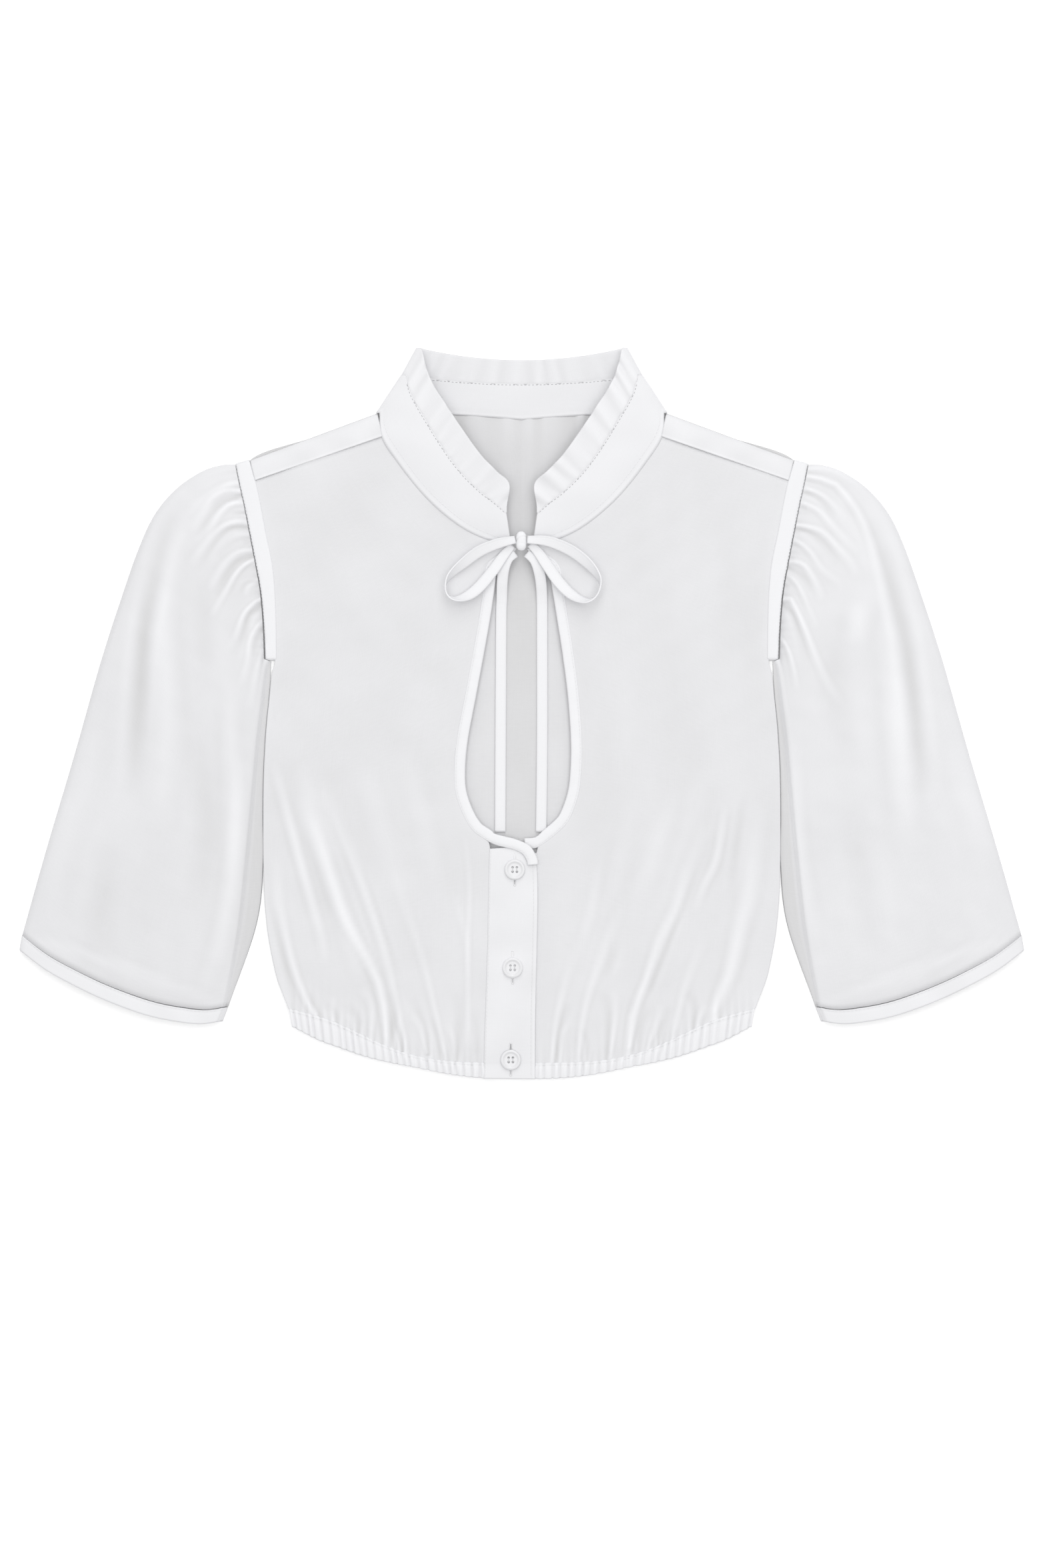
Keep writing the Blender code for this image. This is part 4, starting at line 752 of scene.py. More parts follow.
def front_grid(side):
    inner, level = (4, 9) if side == "left" else (2, 8)
    rows = np.concatenate([spread(92, 0, 20.5)[:-1], spread(FRONT_ROWS - 91, 20.5, 23)])
    table = through(FRONT_SECTIONS, rows)
    u = spread(FRONT_COLUMNS)
    start, end = table[:, None, 0:2], table[:, None, inner:inner + 2]
    way = end - start
    length = np.linalg.norm(way, axis=2, keepdims=True)
    tuck = 1.4 / length
    start, end = start - way * tuck * 0.6, end + way * tuck
    plan = start + (end - start) * u[None, :, None]
    down = (rows / 23)[:, None]
    hem = FRONT_SECTIONS[-1]
    hem_x = hem[0] + (hem[inner] - hem[0]) * u[None, :]
    straight = hem[1] + (hem[inner + 1] - hem[1]) * u[None, :]
    plan[..., 1] += (casing_top(hem_x) - straight) * down**5
    x, y = plan[..., 0], plan[..., 1]
    side_z, middle_z, inner_z = table[:, 6, None], table[:, 7, None], table[:, level, None]
    z = side_z * (1 - u) * (1 - 2 * u) + 4 * middle_z * u * (1 - u) + inner_z * u * (2 * u - 1)
    height, painted_light_and_shade = add_creases(x, y, FRONT_CREASES[side] + FRONT_POCKETS[side])
    above_hem = y - casing_top(x)
    pinned = step(0, 9, above_hem) * step(0, 0.05, u) * step(1.0, 0.96, u)
    soft = ripple(x, y, 70, 11 if side == "left" else 12)
    small = ripple(x, y, 22, 21 if side == "left" else 22)
    z = z + height * (0.25 + 0.75 * step(0, 7, above_hem)) + pinned * (0.35 * soft + 0.08 * small)
    gather = gather_wave(hem_position(x, side), CASING_GATHERS, 3 if side == "left" else 4)
    near = np.exp(-np.maximum(above_hem, 0) / 9.0)
    z += 0.55 * near * gather
    # Lighter on the hem gathers' crests and darker between them, and lighter where the soft undulation
    # rises: painted light and shade
    tone = 0.47 + painted_light_and_shade + 0.045 * soft + 0.02 * small + 0.12 * near * gather
    tone += 0.05 * step(-60, -160, y)
    near_armhole = np.exp(-((u[None, :] * length[..., 0]) / 5.0) ** 2) * step(15, 40, y)
    tone += 0.06 * near_armhole
    grid = np.stack([x, y, np.maximum(z, 1.6)], 2)
    return grid, tone


def hem_position(x, side):
    inner = FRONT_SECTIONS[-1][4 if side == "left" else 2]
    return np.clip((np.abs(x) - inner) / (HEM_HALF - inner), 0, 1)


def gather_wave(share, count, seed):
    """Uneven gathers along a seam: crisp crests of changing width and height, -1 to 1."""
    random = np.random.default_rng(seed)
    knots = spread(9)
    warp = np.interp(share, knots, knots + random.uniform(-0.35, 0.35, 9) / count)
    strength = np.interp(share * count, np.arange(count + 1), random.uniform(0.45, 1.0, count + 1))
    wave = np.sin(2 * math.pi * count * warp)
    return strength * np.sign(wave) * np.abs(wave) ** 0.8


def make_fronts():
    for side, sign in SIDES:
        grid, tone = front_grid(side)
        cut = (240.0, 405.0)
        piece = cloth(f"{side}_front_cloth", mirrored(grid, sign), SHEER, tone, cut)
        place_cloth(piece, sheer_voile, f"front_{side}")


# Back panel

def make_back():
    rows = np.concatenate([spread(34, 0, 3)[:-1], spread(50, 3, 12)[:-1], spread(26, 12, 13)])
    table = through(BACK_SECTIONS, rows)
    s = spread(240, -1, 1)
    half, side_y, centre_y = table[:, 0, None], table[:, 1, None], table[:, 2, None]
    x = half * s
    y = centre_y + (side_y - centre_y) * (1 - (1 - np.abs(s)) ** 2)
    down = (step(9, 13, rows) ** 2)[:, None]
    y = y * (1 - down) + down * np.where(rows[:, None] > 12.9, casing_top(x), y)
    last = rows[:, None] - 12
    blend = step(0, 1, last)
    start_y = -186 - 14 * (1 - s[None, :] ** 2)
    y = np.where(last > 0, start_y * (1 - blend) + casing_top(HEM_HALF * s)[None, :] * blend, y)
    neck_line = COLLAR_BACK[0][0] + COLLAR_BACK[0][1] * (1 - (1 - np.abs(x) / 102.0) ** 2)
    below_neck = neck_line - y
    gathers = gather_wave((x / 70 + 1) / 2, 8, 7) * step(70, 55, np.abs(x))
    near_neck = np.exp(-np.maximum(below_neck, 0) / 24)
    near_hem = np.exp(-np.maximum(y - casing_top(x), 0) / 10)
    z = 0.35 + 0.5 * near_neck * (1 + gathers) + 0.02 * ripple(x, y, 40, 31)
    z = z + near_hem * (0.8 + 0.3 * gather_wave((s[None, :] + 1) / 2, 40, 8))
    z = np.maximum(z, SHEER / 2 + 0.02)
    # The back is dark grey: a single thin layer, with painted shade inside the blouse under the front; its
    # neck gathers get painted light and shade
    tone = 0.22 + 0.03 * ripple(x, y, 30, 33) + 0.13 * near_neck * gathers
    between_tails = step(15.5, 13.5, np.abs(x)) * step(-100, -84, y)
    # The keyhole strip between the tails stays darker than the rest and darkest at its middle: painted shade
    # under the front
    tone = tone + 0.17 * (1 - between_tails) * step(118, 90, y)
    tone -= 0.10 * np.exp(-(((y - 75) / 60) ** 2)) * between_tails
    # Darker in the neck opening's corners and lighter in its middle: painted shade and light
    corner = step(20, 62, np.abs(x) + (205 - y) * 0.35) * step(150, 190, y)
    tone -= 0.14 * corner
    tone += 0.10 * np.exp(-(x / 40) ** 2) * step(150, 200, y)
    centre_line = np.exp(-((x - 1.0) / 0.8) ** 2) * step(95, 130, y)
    tone += 0.05 * centre_line
    grid = np.stack([np.broadcast_to(x, y.shape), y, z], 2)
    cut = (480.0, 470.0)
    piece = cloth("back_cloth", grid, SHEER, tone, cut)
    place_cloth(piece, sheer_voile, "back")


# Shoulder bands

def make_shoulder_bands():
    for side, sign in SIDES:
        u = spread(90)
        front = FRONT_SECTIONS[0]
        start, end = np.array(SHOULDER_LINE)
        upper = start + (end - start) * u[:, None]
        lower = np.array(front[0:2]) + (np.array(front[4:6]) - np.array(front[0:2])) * u[:, None]
        lower_z = front[6] * (1 - u) * (1 - 2 * u) + 4 * front[7] * u * (1 - u) + front[9] * u * (2 * u - 1)
        v = spread(18)[:, None]
        plan = upper[None] + (lower - upper)[None] * v[..., None]
        lift = np.sin(0.5 * math.pi * v) ** 0.8
        pucker = gather_wave(np.broadcast_to(u[None, :], (18, 90)), 16, 41) * v**3
        z = 1.9 + (lower_z[None, :] + 0.35 - 1.9) * lift + 0.4 * np.sin(math.pi * v) + 0.12 * pucker
        tone = 0.66 + 0.10 * ripple(plan[..., 0], plan[..., 1], 26, 43)
        # Darker along its upper edge, where it sinks to the back at the shoulder: painted shade. A light
        # line runs near its lower edge.
        tone = tone - 0.16 * np.exp(-(v / 0.12) ** 2) + 0.22 * np.exp(-((v - 0.94) / 0.05) ** 2)
        grid = np.concatenate([plan, z[..., None]], 2)
        cut = (98.0, 19.0)
        piece = cloth(f"{side}_shoulder_cloth", mirrored(grid, sign), DOUBLE, tone, cut)
        place_cloth(piece, double_voile, f"shoulder_band_{side}")


# Armhole bindings

def make_armhole_bindings():
    for side, sign in SIDES:
        front = even_line([row[:5] for row in ARMHOLE], 110)
        back = front[::-1].copy()
        back[:, 4] = 0.55
        turn_low = (front[-1] + back[0]) / 2
        turn_low[1] -= 0.9
        turn_low[3] -= 0.9
        turn_top = (front[0] + back[-1]) / 2
        turn_top[1] += 0.7
        turn_top[3] += 0.5
        loop = np.concatenate([front, [turn_low], back, [turn_top]])
        body, sleeve, level = loop[:, 0:2], loop[:, 2:4], loop[:, 4]
        v = spread(12, -0.03, 1.06)[:, None]
        plan = body[None] + (sleeve - body)[None] * v[..., None]
        bulge = np.sqrt(np.maximum(1 - (2 * (v - 0.5) / 1.12) ** 2, 0.0))
        on_front = np.concatenate([np.ones(110), [0.5], np.zeros(110), [0.5]])
        z = level[None, :] + 0.5 * bulge * on_front[None, :]
        pucker = ripple(plan[..., 0], plan[..., 1], 7, 51) * step(0.6, 1.0, v)
        z = z + 0.10 * pucker * on_front
        grid = np.concatenate([plan, z[..., None]], 2)
        thickness = 0.35 + 0.9 * bulge * (0.35 + 0.65 * on_front[None, :])
        # Lighter on its raised puckers and darker along its sleeve-side edge: painted light and shade
        tone = 0.84 + 0.05 * pucker - 0.10 * step(0.85, 1.0, v)
        cut = (290.0, 10.5)
        piece = cloth(f"{side}_armhole_cloth", mirrored(grid, sign), thickness, tone, cut, ring=True)
        place_cloth(piece, double_voile, f"armhole_binding_{side}")


# Sleeves

def sleeve_armhole(u):
    line = through([row[2:4] for row in ARMHOLE], spread(200, 0, len(ARMHOLE) - 1))
    line = np.concatenate([line, [UNDERARM]])
    lengths = np.concatenate([[0], np.cumsum(np.linalg.norm(np.diff(line, axis=0), axis=1))])
    place = np.clip(u, 0, 1) * lengths[-1]
    return np.stack([np.interp(place, lengths, line[:, i]) for i in range(2)], -1)


def sleeve_hem_line(u, inset, rise):
    """Line across the sleeve's hem, a rise above its lower edge."""
    edge = np.array(SLEEVE_EDGE)
    lengths = np.concatenate([[0], np.cumsum(np.linalg.norm(np.diff(edge, axis=0), axis=1))])
    u = np.clip(u, 0, 1)
    x = np.interp(u * lengths[-1], lengths, edge[:, 0])
    y = curve_at(-edge[:, 0], edge[:, 1], -x)
    lean_x, lean_y = -0.17 - 0.19 * u, 0.985 - 0.05 * u
    return np.stack([x + inset * u + lean_x * rise, y + lean_y * rise], -1)


def sleeve_plan(table, u, inner):
    """Places on the sleeve between its four edges, for every ring at once."""
    t = table[:, 0, None, None]
    outer = table[:, None, 1:3]
    end = table[:, None, 5:7] if inner else table[:, None, 3:5]
    inset = 0.0 if inner else SLEEVE_FOLD_INSET
    head, hem = sleeve_armhole(u)[None], sleeve_hem_line(u, inset, SLEEVE_HEM_HEIGHT - 1.2)[None]
    ends = np.array((0.0, 1.0))
    head_0, head_1 = sleeve_armhole(ends)
    hem_0, hem_1 = sleeve_hem_line(ends, inset, SLEEVE_HEM_HEIGHT - 1.2)
    s = u[None, :, None]
    corners = (1 - t) * ((1 - s) * head_0 + s * head_1) + t * ((1 - s) * hem_0 + s * hem_1)
    return (1 - s) * outer + s * end + (1 - t) * head + t * hem - corners


def sleeve_ring(plan_front, plan_back, crown, extra, front_tone, back_tone):
    """Rings round a sleeve: outer fold, front layer, pressed edge, back layer."""
    rows, count = plan_front.shape[:2]
    along = np.linalg.norm(plan_front - plan_front[:, :1], axis=2)
    width = along[:, -1:]
    u = along / width
    tip_z = (SLEEVE_BASE_Z + SLEEVE_LOW_Z) / 2
    shape = np.sin(math.pi * 0.86 * np.clip(u, 1e-6, 1) ** 0.75) ** 0.6
    z = SLEEVE_BASE_Z + crown * shape + extra
    round_outer = np.sqrt(1 - (1 - np.clip(along / 5.0, 0, 1)) ** 2)
    round_inner = np.sqrt(1 - (1 - np.clip((width - along) / 2.2, 0, 1)) ** 2)
    z = tip_z + (z - tip_z) * round_outer
    z = SLEEVE_PRESSED_Z + (z - SLEEVE_PRESSED_Z) * round_inner
    front = np.concatenate([plan_front, z[..., None]], 2)
    fold, inner = plan_front[:, -1], plan_back[:, -1]
    pressed, pressed_tone = [], []
    for share in (0.3, 0.65, 0.93):
        place = fold + (inner - fold) * share
        pressed.append(np.concatenate([place, np.full((rows, 1), SLEEVE_PRESSED_Z - 0.4)], 1))
    turn = np.concatenate([inner, np.full((rows, 1), 1.1)], 1)
    edge = np.stack([*pressed, turn], 1)
    back_u = plan_back[:, ::-1][:, 1:]
    back_along = np.linalg.norm(back_u - plan_back[:, :1], axis=2)
    rise = 1 - np.sqrt(1 - (1 - np.clip(back_along / 5.0, 0, 1)) ** 2)
    back_z = SLEEVE_LOW_Z + (tip_z - SLEEVE_LOW_Z) * rise
    back = np.concatenate([back_u, back_z[..., None]], 2)[:, :-1]
    grid = np.concatenate([front, edge, back], 1)
    tone = np.concatenate([
        front_tone,
        np.full((rows, 4), back_tone),
        np.full(back.shape[:2], back_tone),
    ], 1)
    return grid, tone


def make_sleeves():
    for side, sign in SIDES:
        rows = np.concatenate([spread(70, 0, 4)[:-1], spread(SLEEVE_ROWS - 69, 4, 10)])
        table = through(SLEEVE_SECTIONS, rows)
        u = spread(SLEEVE_FRONT_COLUMNS) ** 1.25
        front = sleeve_plan(table, u, False)
        back = sleeve_plan(table, spread(SLEEVE_BACK_COLUMNS), True)
        x, y = front[..., 0], front[..., 1]
        creases = SLEEVE_CREASES[side] + SLEEVE_POCKETS[side] + SLEEVE_GHOSTS
        height, painted_light_and_shade = add_creases(x, y, creases)
        head = sleeve_armhole(spread(60))
        to_seam, share = nearest_on(head, x, y)
        free = step(0, 8, to_seam) * step(0, 0.04, u)[None, :] * step(1, 0.95, u)[None, :]
        soft = ripple(x, y, 80, 61 if side == "left" else 62)
        small = ripple(x, y, 18, 63 if side == "left" else 64)
        tiny = gather_wave(share, 24, 65) * np.exp(-to_seam / 5.0)
        extra = height * (0.35 + 0.65 * step(0, 5, to_seam)) + free * (0.5 * soft + 0.10 * small)
        extra = extra + 0.35 * tiny
        # The left sleeve is painted lighter than the right, as the light falls on them: painted light
        base = 0.56 if side == "left" else 0.50
        # Painted light and shade of the creases and of the small gathers at the armhole seam, and painted
        # light where the soft undulation rises
        tone = base + painted_light_and_shade + 0.04 * soft + 0.02 * small + 0.10 * tiny
        # Painted highlight in a broad band inside the outer fold
        painted_outer_highlight = np.exp(-((np.linalg.norm(front - front[:, :1], axis=2) - 22) / 18) ** 2)
        tone = tone + 0.05 * painted_outer_highlight
        # The back layer and pressed edge get a dark tone: a single layer, with painted shade under the front
        # layer and the body
        grid, tones = sleeve_ring(
            front, back, table[:, 7, None], extra, tone, 0.12,
        )
        cut = (400.0, 395.0)
        piece = cloth(f"{side}_sleeve_cloth", mirrored(grid, sign), SHEER, tones, cut, ring=True)
        place_cloth(piece, sheer_voile, f"sleeve_{side}")


def make_sleeve_hems():
    for side, sign in SIDES:
        u = spread(110) ** 1.15
        front, back = [], []
        rises = spread(9, SLEEVE_HEM_HEIGHT, 0.0)
        for rise in rises:
            front.append(sleeve_hem_line(u, SLEEVE_FOLD_INSET, rise))
            back.append(sleeve_hem_line(spread(SLEEVE_BACK_COLUMNS), 0.0, rise))
        front, back = np.array(front), np.array(back)
        v = (rises / SLEEVE_HEM_HEIGHT)[:, None]
        soft = ripple(front[..., 0], front[..., 1], 34, 71 if side == "left" else 72)
        extra = 0.25 + 0.25 * soft - 0.25 * np.exp(-((v - 0.9) / 0.06) ** 2)
        # Lighter where the band rises and darker in the groove of its stitching: painted light and shade
        tone = 0.80 + 0.07 * soft - 0.12 * np.exp(-((v - 0.9) / 0.05) ** 2)
        # Its back layer is darker: painted shade under the front
        grid, tones = sleeve_ring(
            front, back, SLEEVE_SECTIONS[-1][7], extra, tone, 0.45,
        )
        cut = (330.0, 14.0)
        piece = cloth(f"{side}_sleeve_hem_cloth", mirrored(grid, sign), DOUBLE, tones, cut, ring=True)
        place_cloth(piece, double_voile, f"sleeve_hem_{side}")


# Collar

def collar_line(column):
    """A whole line of the collar from the right tie end round the back to the left one."""
    stations = np.array(COLLAR_FRONT)[:, 3 * column:3 * column + 3]
    front = even_line(stations, 130)
    tip_x, tip_y = COLLAR_FOLDS[column]
    radius = (front[0][2] - COLLAR_BACK_Z) / 2
    lean = spread(9, -0.5 * math.pi, 0.5 * math.pi)
    fold = np.stack([
        tip_x - radius * (1 - np.cos(lean)),
        np.full(9, tip_y),
        COLLAR_BACK_Z + radius * (1 + np.sin(lean)),
    ], 1)
    centre_y, rise, power = COLLAR_BACK[column]
    half = tip_x - radius
    x = spread(150, -half, half)
    share = np.abs(x) / half
    if column == 0:
        curve = centre_y + rise * (1 - (1 - share) ** 2)
    else:
        curve = centre_y + rise * share**power
    back = np.stack([x, curve, np.full(150, COLLAR_BACK_Z)], 1)
    left = np.concatenate([fold[1:-1], front])
    right = (left * np.array((-1.0, 1.0, 1.0)))[::-1]
    return np.concatenate([right, back, left])


def make_collar():
    neck, seam, edge = (collar_line(column) for column in range(3))
    count = len(neck)
    place = np.arange(count)
    on_front = np.minimum(step(150, 118, place) + step(count - 150, count - 118, place), 1)
    v = spread(16, -0.02, 1.0)[:, None, None]
    grid = neck[None] + (seam - neck)[None] * v
    rise = v[..., 0]
    crown = 0.8 * np.sin(math.pi * np.clip(rise, 0, 1))
    roll = np.exp(-((rise - 0.04) / 0.05) ** 2) - 0.8 * np.exp(-((rise - 0.13) / 0.035) ** 2)
    soft = ripple(grid[..., 0], grid[..., 1], 34, 81)
    grid[..., 2] += on_front[None] * (crown + 0.25 * soft * np.sin(math.pi * np.clip(rise, 0, 1)))
    grid[..., 2] += 0.28 * roll * (0.4 + 0.6 * on_front[None])
    # Lighter on the rolled neck edge and where it rises, darker in the groove beside the roll, round the
    # back of the neck and towards the ruffle seam: painted light and shade
    tone = 0.74 + 0.06 * soft + 0.06 * roll
    tone = tone - 0.10 * (1 - on_front[None]) - 0.06 * step(0.9, 1.0, rise)
    thickness = 0.9 - 0.3 * step(0.9, 1.0, rise)
    cut = (500.0, 32.0)
    piece = cloth("collar_stand_cloth", grid, thickness, tone, cut)
    place_cloth(piece, double_voile, "collar_stand")
    v = spread(18, -0.06, 1.0)[:, None, None]
    grid = seam[None] + (edge - seam)[None] * v
    rise = np.clip(v[..., 0], 0, 1)
    share = (place / (count - 1))[None, :]
    wave = ruffle_wave(share)
    ends = np.clip(np.minimum(place, count - 1 - place) / 8.0, 0, 1)[None, :]
    puckers = 0.30 * gather_wave(share, 60, 83) * np.exp(-rise / 0.25)
    lift = (0.25 + 0.75 * rise) * wave * (0.55 + 0.6 * on_front[None]) + puckers
    lift = lift + (1 - on_front[None]) * 0.7 * rise
    grid[..., 2] += ends * lift
    # Painted side light: each wave lighter on one flank and darker on the other
    painted_side_light = np.gradient(wave, axis=1)
    painted_side_light = painted_side_light / np.abs(painted_side_light).max()
    # Painted light and shade: lighter on the wave crests and puckers, darker along the seam and round the
    # back of the neck
    tone = 0.72 + 0.08 * wave * ends + 0.12 * painted_side_light * ends - 0.12 * np.exp(-(rise / 0.06) ** 2)
    tone = tone - 0.13 * (1 - on_front[None]) + 0.08 * puckers
    tone = tone + 0.08 * np.exp(-((rise - 1) / 0.06) ** 2)
    grid[..., 2] = np.maximum(grid[..., 2], 0.3)
    cut = (620.0, 20.0)
    piece = cloth("collar_ruffle_cloth", round_ruffle_ends(grid), SHEER, tone, cut)
    place_cloth(piece, sheer_voile, "collar_ruffle")


def ruffle_wave(share):
    """Soft uneven waves of the ruffle, as many as the collar shows."""
    warp = share + 0.006 * np.sin(2 * math.pi * 5.3 * share + 0.6) + 0.004 * np.sin(2 * math.pi * 11 * share)
    height = 0.75 + 0.35 * np.sin(2 * math.pi * 4.1 * share + 1.0)
    return height * np.sin(2 * math.pi * 29 * warp)


def round_ruffle_ends(grid):
    """Draw the ruffle's corners in so that its front ends are round."""
    count = grid.shape[1]
    seam = grid[:1]
    from_end = np.minimum(np.arange(count), count - 1 - np.arange(count))
    reach = np.sqrt(np.clip(1 - (1 - np.clip(from_end / 16.0, 0, 1)) ** 2, 0, 1))
    reach = (0.25 + 0.75 * reach)[None, :, None]
    return seam + (grid - seam) * reach


# Keyhole bindings

def binding_lines(side):
    inner, level = (4, 9) if side == "left" else (2, 8)
    first, last = KEYHOLE_ROWS
    edge = through(FRONT_SECTIONS, spread(160, first, last))
    places = edge[:, inner:inner + 2]
    way = np.gradient(places, axis=0)
    way /= np.linalg.norm(way, axis=1, keepdims=True)
    inward = np.stack([way[:, 1], -way[:, 0]], 1)
    outer = places - inward * 0.2
    inside = places + inward * (BINDING_WIDTH + 0.2)
    strip = np.concatenate([outer, inside, edge[:, level, None]], 1)
    ends = np.array(BINDING_END[side])
    keep = strip[np.linalg.norm(strip[:, 0:2] - ends[0, 0:2], axis=1) > 4.0]
    return even_line(np.concatenate([keep[::6], ends]), 260)


def make_bindings():
    for side, sign in SIDES:
        line = binding_lines(side)
        v = spread(11)[:, None]
        plan = line[None, :, 0:2] + (line[:, 2:4] - line[:, 0:2])[None] * v[..., None]
        bulge = np.sqrt(np.maximum(1 - (2 * v - 1) ** 2, 0))
        seam_groove = np.exp(-((v - 0.18) / 0.07) ** 2)
        wrinkle = ripple(plan[..., 0], plan[..., 1], 9, 91)
        z = line[None, :, 4] + 0.45 * bulge - 0.16 * seam_groove + 0.05 * wrinkle
        grid = np.concatenate([plan, z[..., None]], 2)
        # Darker in the seam groove and lighter on its raised wrinkles: painted shade and light
        tone = 0.90 - 0.12 * seam_groove + 0.03 * wrinkle
        thickness = 0.3 + 0.9 * bulge
        length = np.linalg.norm(np.diff(line[:, 0:2], axis=0), axis=1).sum()
        cut = (10.0, round(length))
        piece = cloth(f"{side}_keyhole_cloth", mirrored(grid, sign), thickness, tone, (cut[1], cut[0]))
        place_cloth(piece, double_voile, f"keyhole_binding_{side}")


# Centre front

def strip_grid(table, level, rows, columns):
    line = even_line(table, rows)
    u = spread(columns)
    plan = line[:, None, 0:2] + (line[:, 2:4] - line[:, 0:2])[:, None] * u[None, :, None]
    return np.concatenate([plan, np.full((rows, columns, 1), level)], 2)


def make_centre_front():
    grid = strip_grid(PLACKET, PLACKET_Z, 150, 60)
    x, y = grid[..., 0], grid[..., 1]
    u = spread(60)[None, :]
    soft = ripple(x, y, 36, 101)
    from_left = u * (grid[:, -1:, 0] - grid[:, :1, 0])
    from_right = (1 - u) * (grid[:, -1:, 0] - grid[:, :1, 0])
    stitch = np.exp(-((from_right - 2.8) / 0.5) ** 2)
    hem_groove = np.exp(-((y + 246.5) / 0.6) ** 2)
    dimple = sum(np.exp(-(((x - bx) / 8) ** 2 + ((y - by) / 8) ** 2)) for bx, by in BUTTON_PLACES)
    grid[..., 2] += 0.22 * soft - 0.14 * stitch - 0.12 * hem_groove - 0.15 * dimple
    grid[..., 2] += 0.15 * (step(0, 1.5, from_left) + step(0, 1.5, from_right))
    # Painted light and shade: lighter where it rises and on its raised right edge, darker in the stitch and
    # hem grooves, along its left edge and at its lower left where it meets the casing
    tone = 0.74 + 0.08 * soft - 0.10 * stitch - 0.06 * hem_groove
    tone = tone + 0.10 * np.exp(-(from_right / 1.0) ** 2) - 0.12 * np.exp(-(from_left / 0.8) ** 2)
    tone = tone - 0.12 * step(-234, -246, y) * (1 - u) * step(-252, -244, y)
    cut = (36.0, 164.0)
    piece = cloth("placket_cloth", grid, DOUBLE, tone, cut)
    place_cloth(piece, double_voile, "placket")
    grid = strip_grid(BUTTON_STAND, BUTTON_STAND_Z, 40, 12)
    cut = (31.0, 160.0)
    piece = cloth("button_stand_cloth", grid, DOUBLE, 0.7, cut)
    place_cloth(piece, double_voile, "button_stand")


# Elastic hem casing

CASING_ROWS = 14


def casing_grid(xs, level, rise, count, seed, share):
    """Gathered casing along the hem: crisp uneven creases that lean and pinch its edges."""
    v = spread(CASING_ROWS)[:, None]
    lean = ripple(share * 100, share * 0, 17, seed) * 0.006
    wave = gather_wave(np.clip(share + lean * (v - 0.5), 0, 1), count, seed)
    fine = gather_wave(np.clip(share - lean * (v - 0.5), 0, 1), int(count * 1.7), seed + 1)
    top, bottom = casing_top(xs), casing_bottom(xs)
    scallop = 0.45 * np.maximum(-wave, 0)
    y = top[None, :] + 0.5 + (bottom - top - 0.5)[None, :] * v + scallop * (v - 0.25) * 1.3
    x = xs[None, :] * (1 - 0.012 * v)
    puff = np.sin(math.pi * np.clip(v, 0, 1)) ** 0.7
    seam = np.exp(-((v - 0.16) / 0.06) ** 2)
    z = level + 0.5 * puff + rise * (wave + 0.35 * fine) * (0.5 + 0.5 * puff) - 0.25 * seam
    # Painted light and shade: lighter on the gathers' crests, darker in the seam groove and darkest in the
    # deepest folds between gathers
    tone = 0.86 + 0.10 * (wave + 0.5 * fine) - 0.10 * seam
    tone = tone - 0.30 * np.exp(-((wave + 0.75) / 0.28) ** 2)
    return np.stack([x, y, z], 2), tone


def make_casings():
    for side, sign in SIDES:
        inner = FRONT_SECTIONS[-1][4 if side == "left" else 2]
        xs = spread(340, HEM_HALF + 0.4, inner - 0.6)
        share = hem_position(xs, side)
        seed = 3 if side == "left" else 4
        grid, tone = casing_grid(xs, CASING_FRONT_Z, 0.75, CASING_GATHERS, seed, share)
        cut = (240.0, 12.0)
        piece = cloth(f"{side}_casing_cloth", mirrored(grid, sign), DOUBLE, tone, cut)
        place_cloth(piece, double_voile, f"hem_casing_{side}")
    xs = spread(420, -HEM_HALF, HEM_HALF)
    grid, tone = casing_grid(xs, CASING_BACK_Z - 0.2, 0.35, 40, 8, (xs / HEM_HALF + 1) / 2)
    grid[..., 2] = np.maximum(grid[..., 2], DOUBLE / 2 + 0.1)
    cut = (480.0, 12.0)
    # Darker than the front casings: painted shade under the front
    piece = cloth("back_casing_cloth", grid, DOUBLE, tone - 0.1, cut)
    place_cloth(piece, double_voile, "hem_casing_back")


# Tie

def ribbon_grid(table, cupping):
    line = even_line(table, 150)
    place, tilt, width = line[:, 0:3], np.radians(line[:, 3]), line[:, 4]
    way = np.gradient(place[:, 0:2], axis=0)
    way /= np.linalg.norm(way, axis=1, keepdims=True)
    turning = np.cross(np.diff(place[:, 0:2], axis=0)[:-1], np.diff(place[:, 0:2], axis=0)[1:]).sum()
    outward = np.stack([-way[:, 1], way[:, 0]], 1) * (1 if turning < 0 else -1)
    v = spread(9, -0.5, 0.5)[:, None, None]
    reach = np.concatenate([
        outward * (np.cos(tilt) * width)[:, None], (np.sin(tilt) * width)[:, None],
    ], 1)
    up = np.concatenate([-outward * np.sin(tilt)[:, None], np.cos(tilt)[:, None]], 1)
    cup = cupping * (1 - (2 * v) ** 2) - 0.22 * np.exp(-((np.abs(v) - 0.36) / 0.05) ** 2)
    grid = place[None] + reach[None] * v + up[None] * cup
    edge = np.exp(-((np.abs(v[..., 0]) - 0.36) / 0.05) ** 2)
    centre = 1 - (2 * v[..., 0]) ** 2
    # Darker in the grooves near its edges and in its cupped middle: painted shade
    tone = 0.92 - 0.10 * edge - 0.05 * centre
    return grid, tone


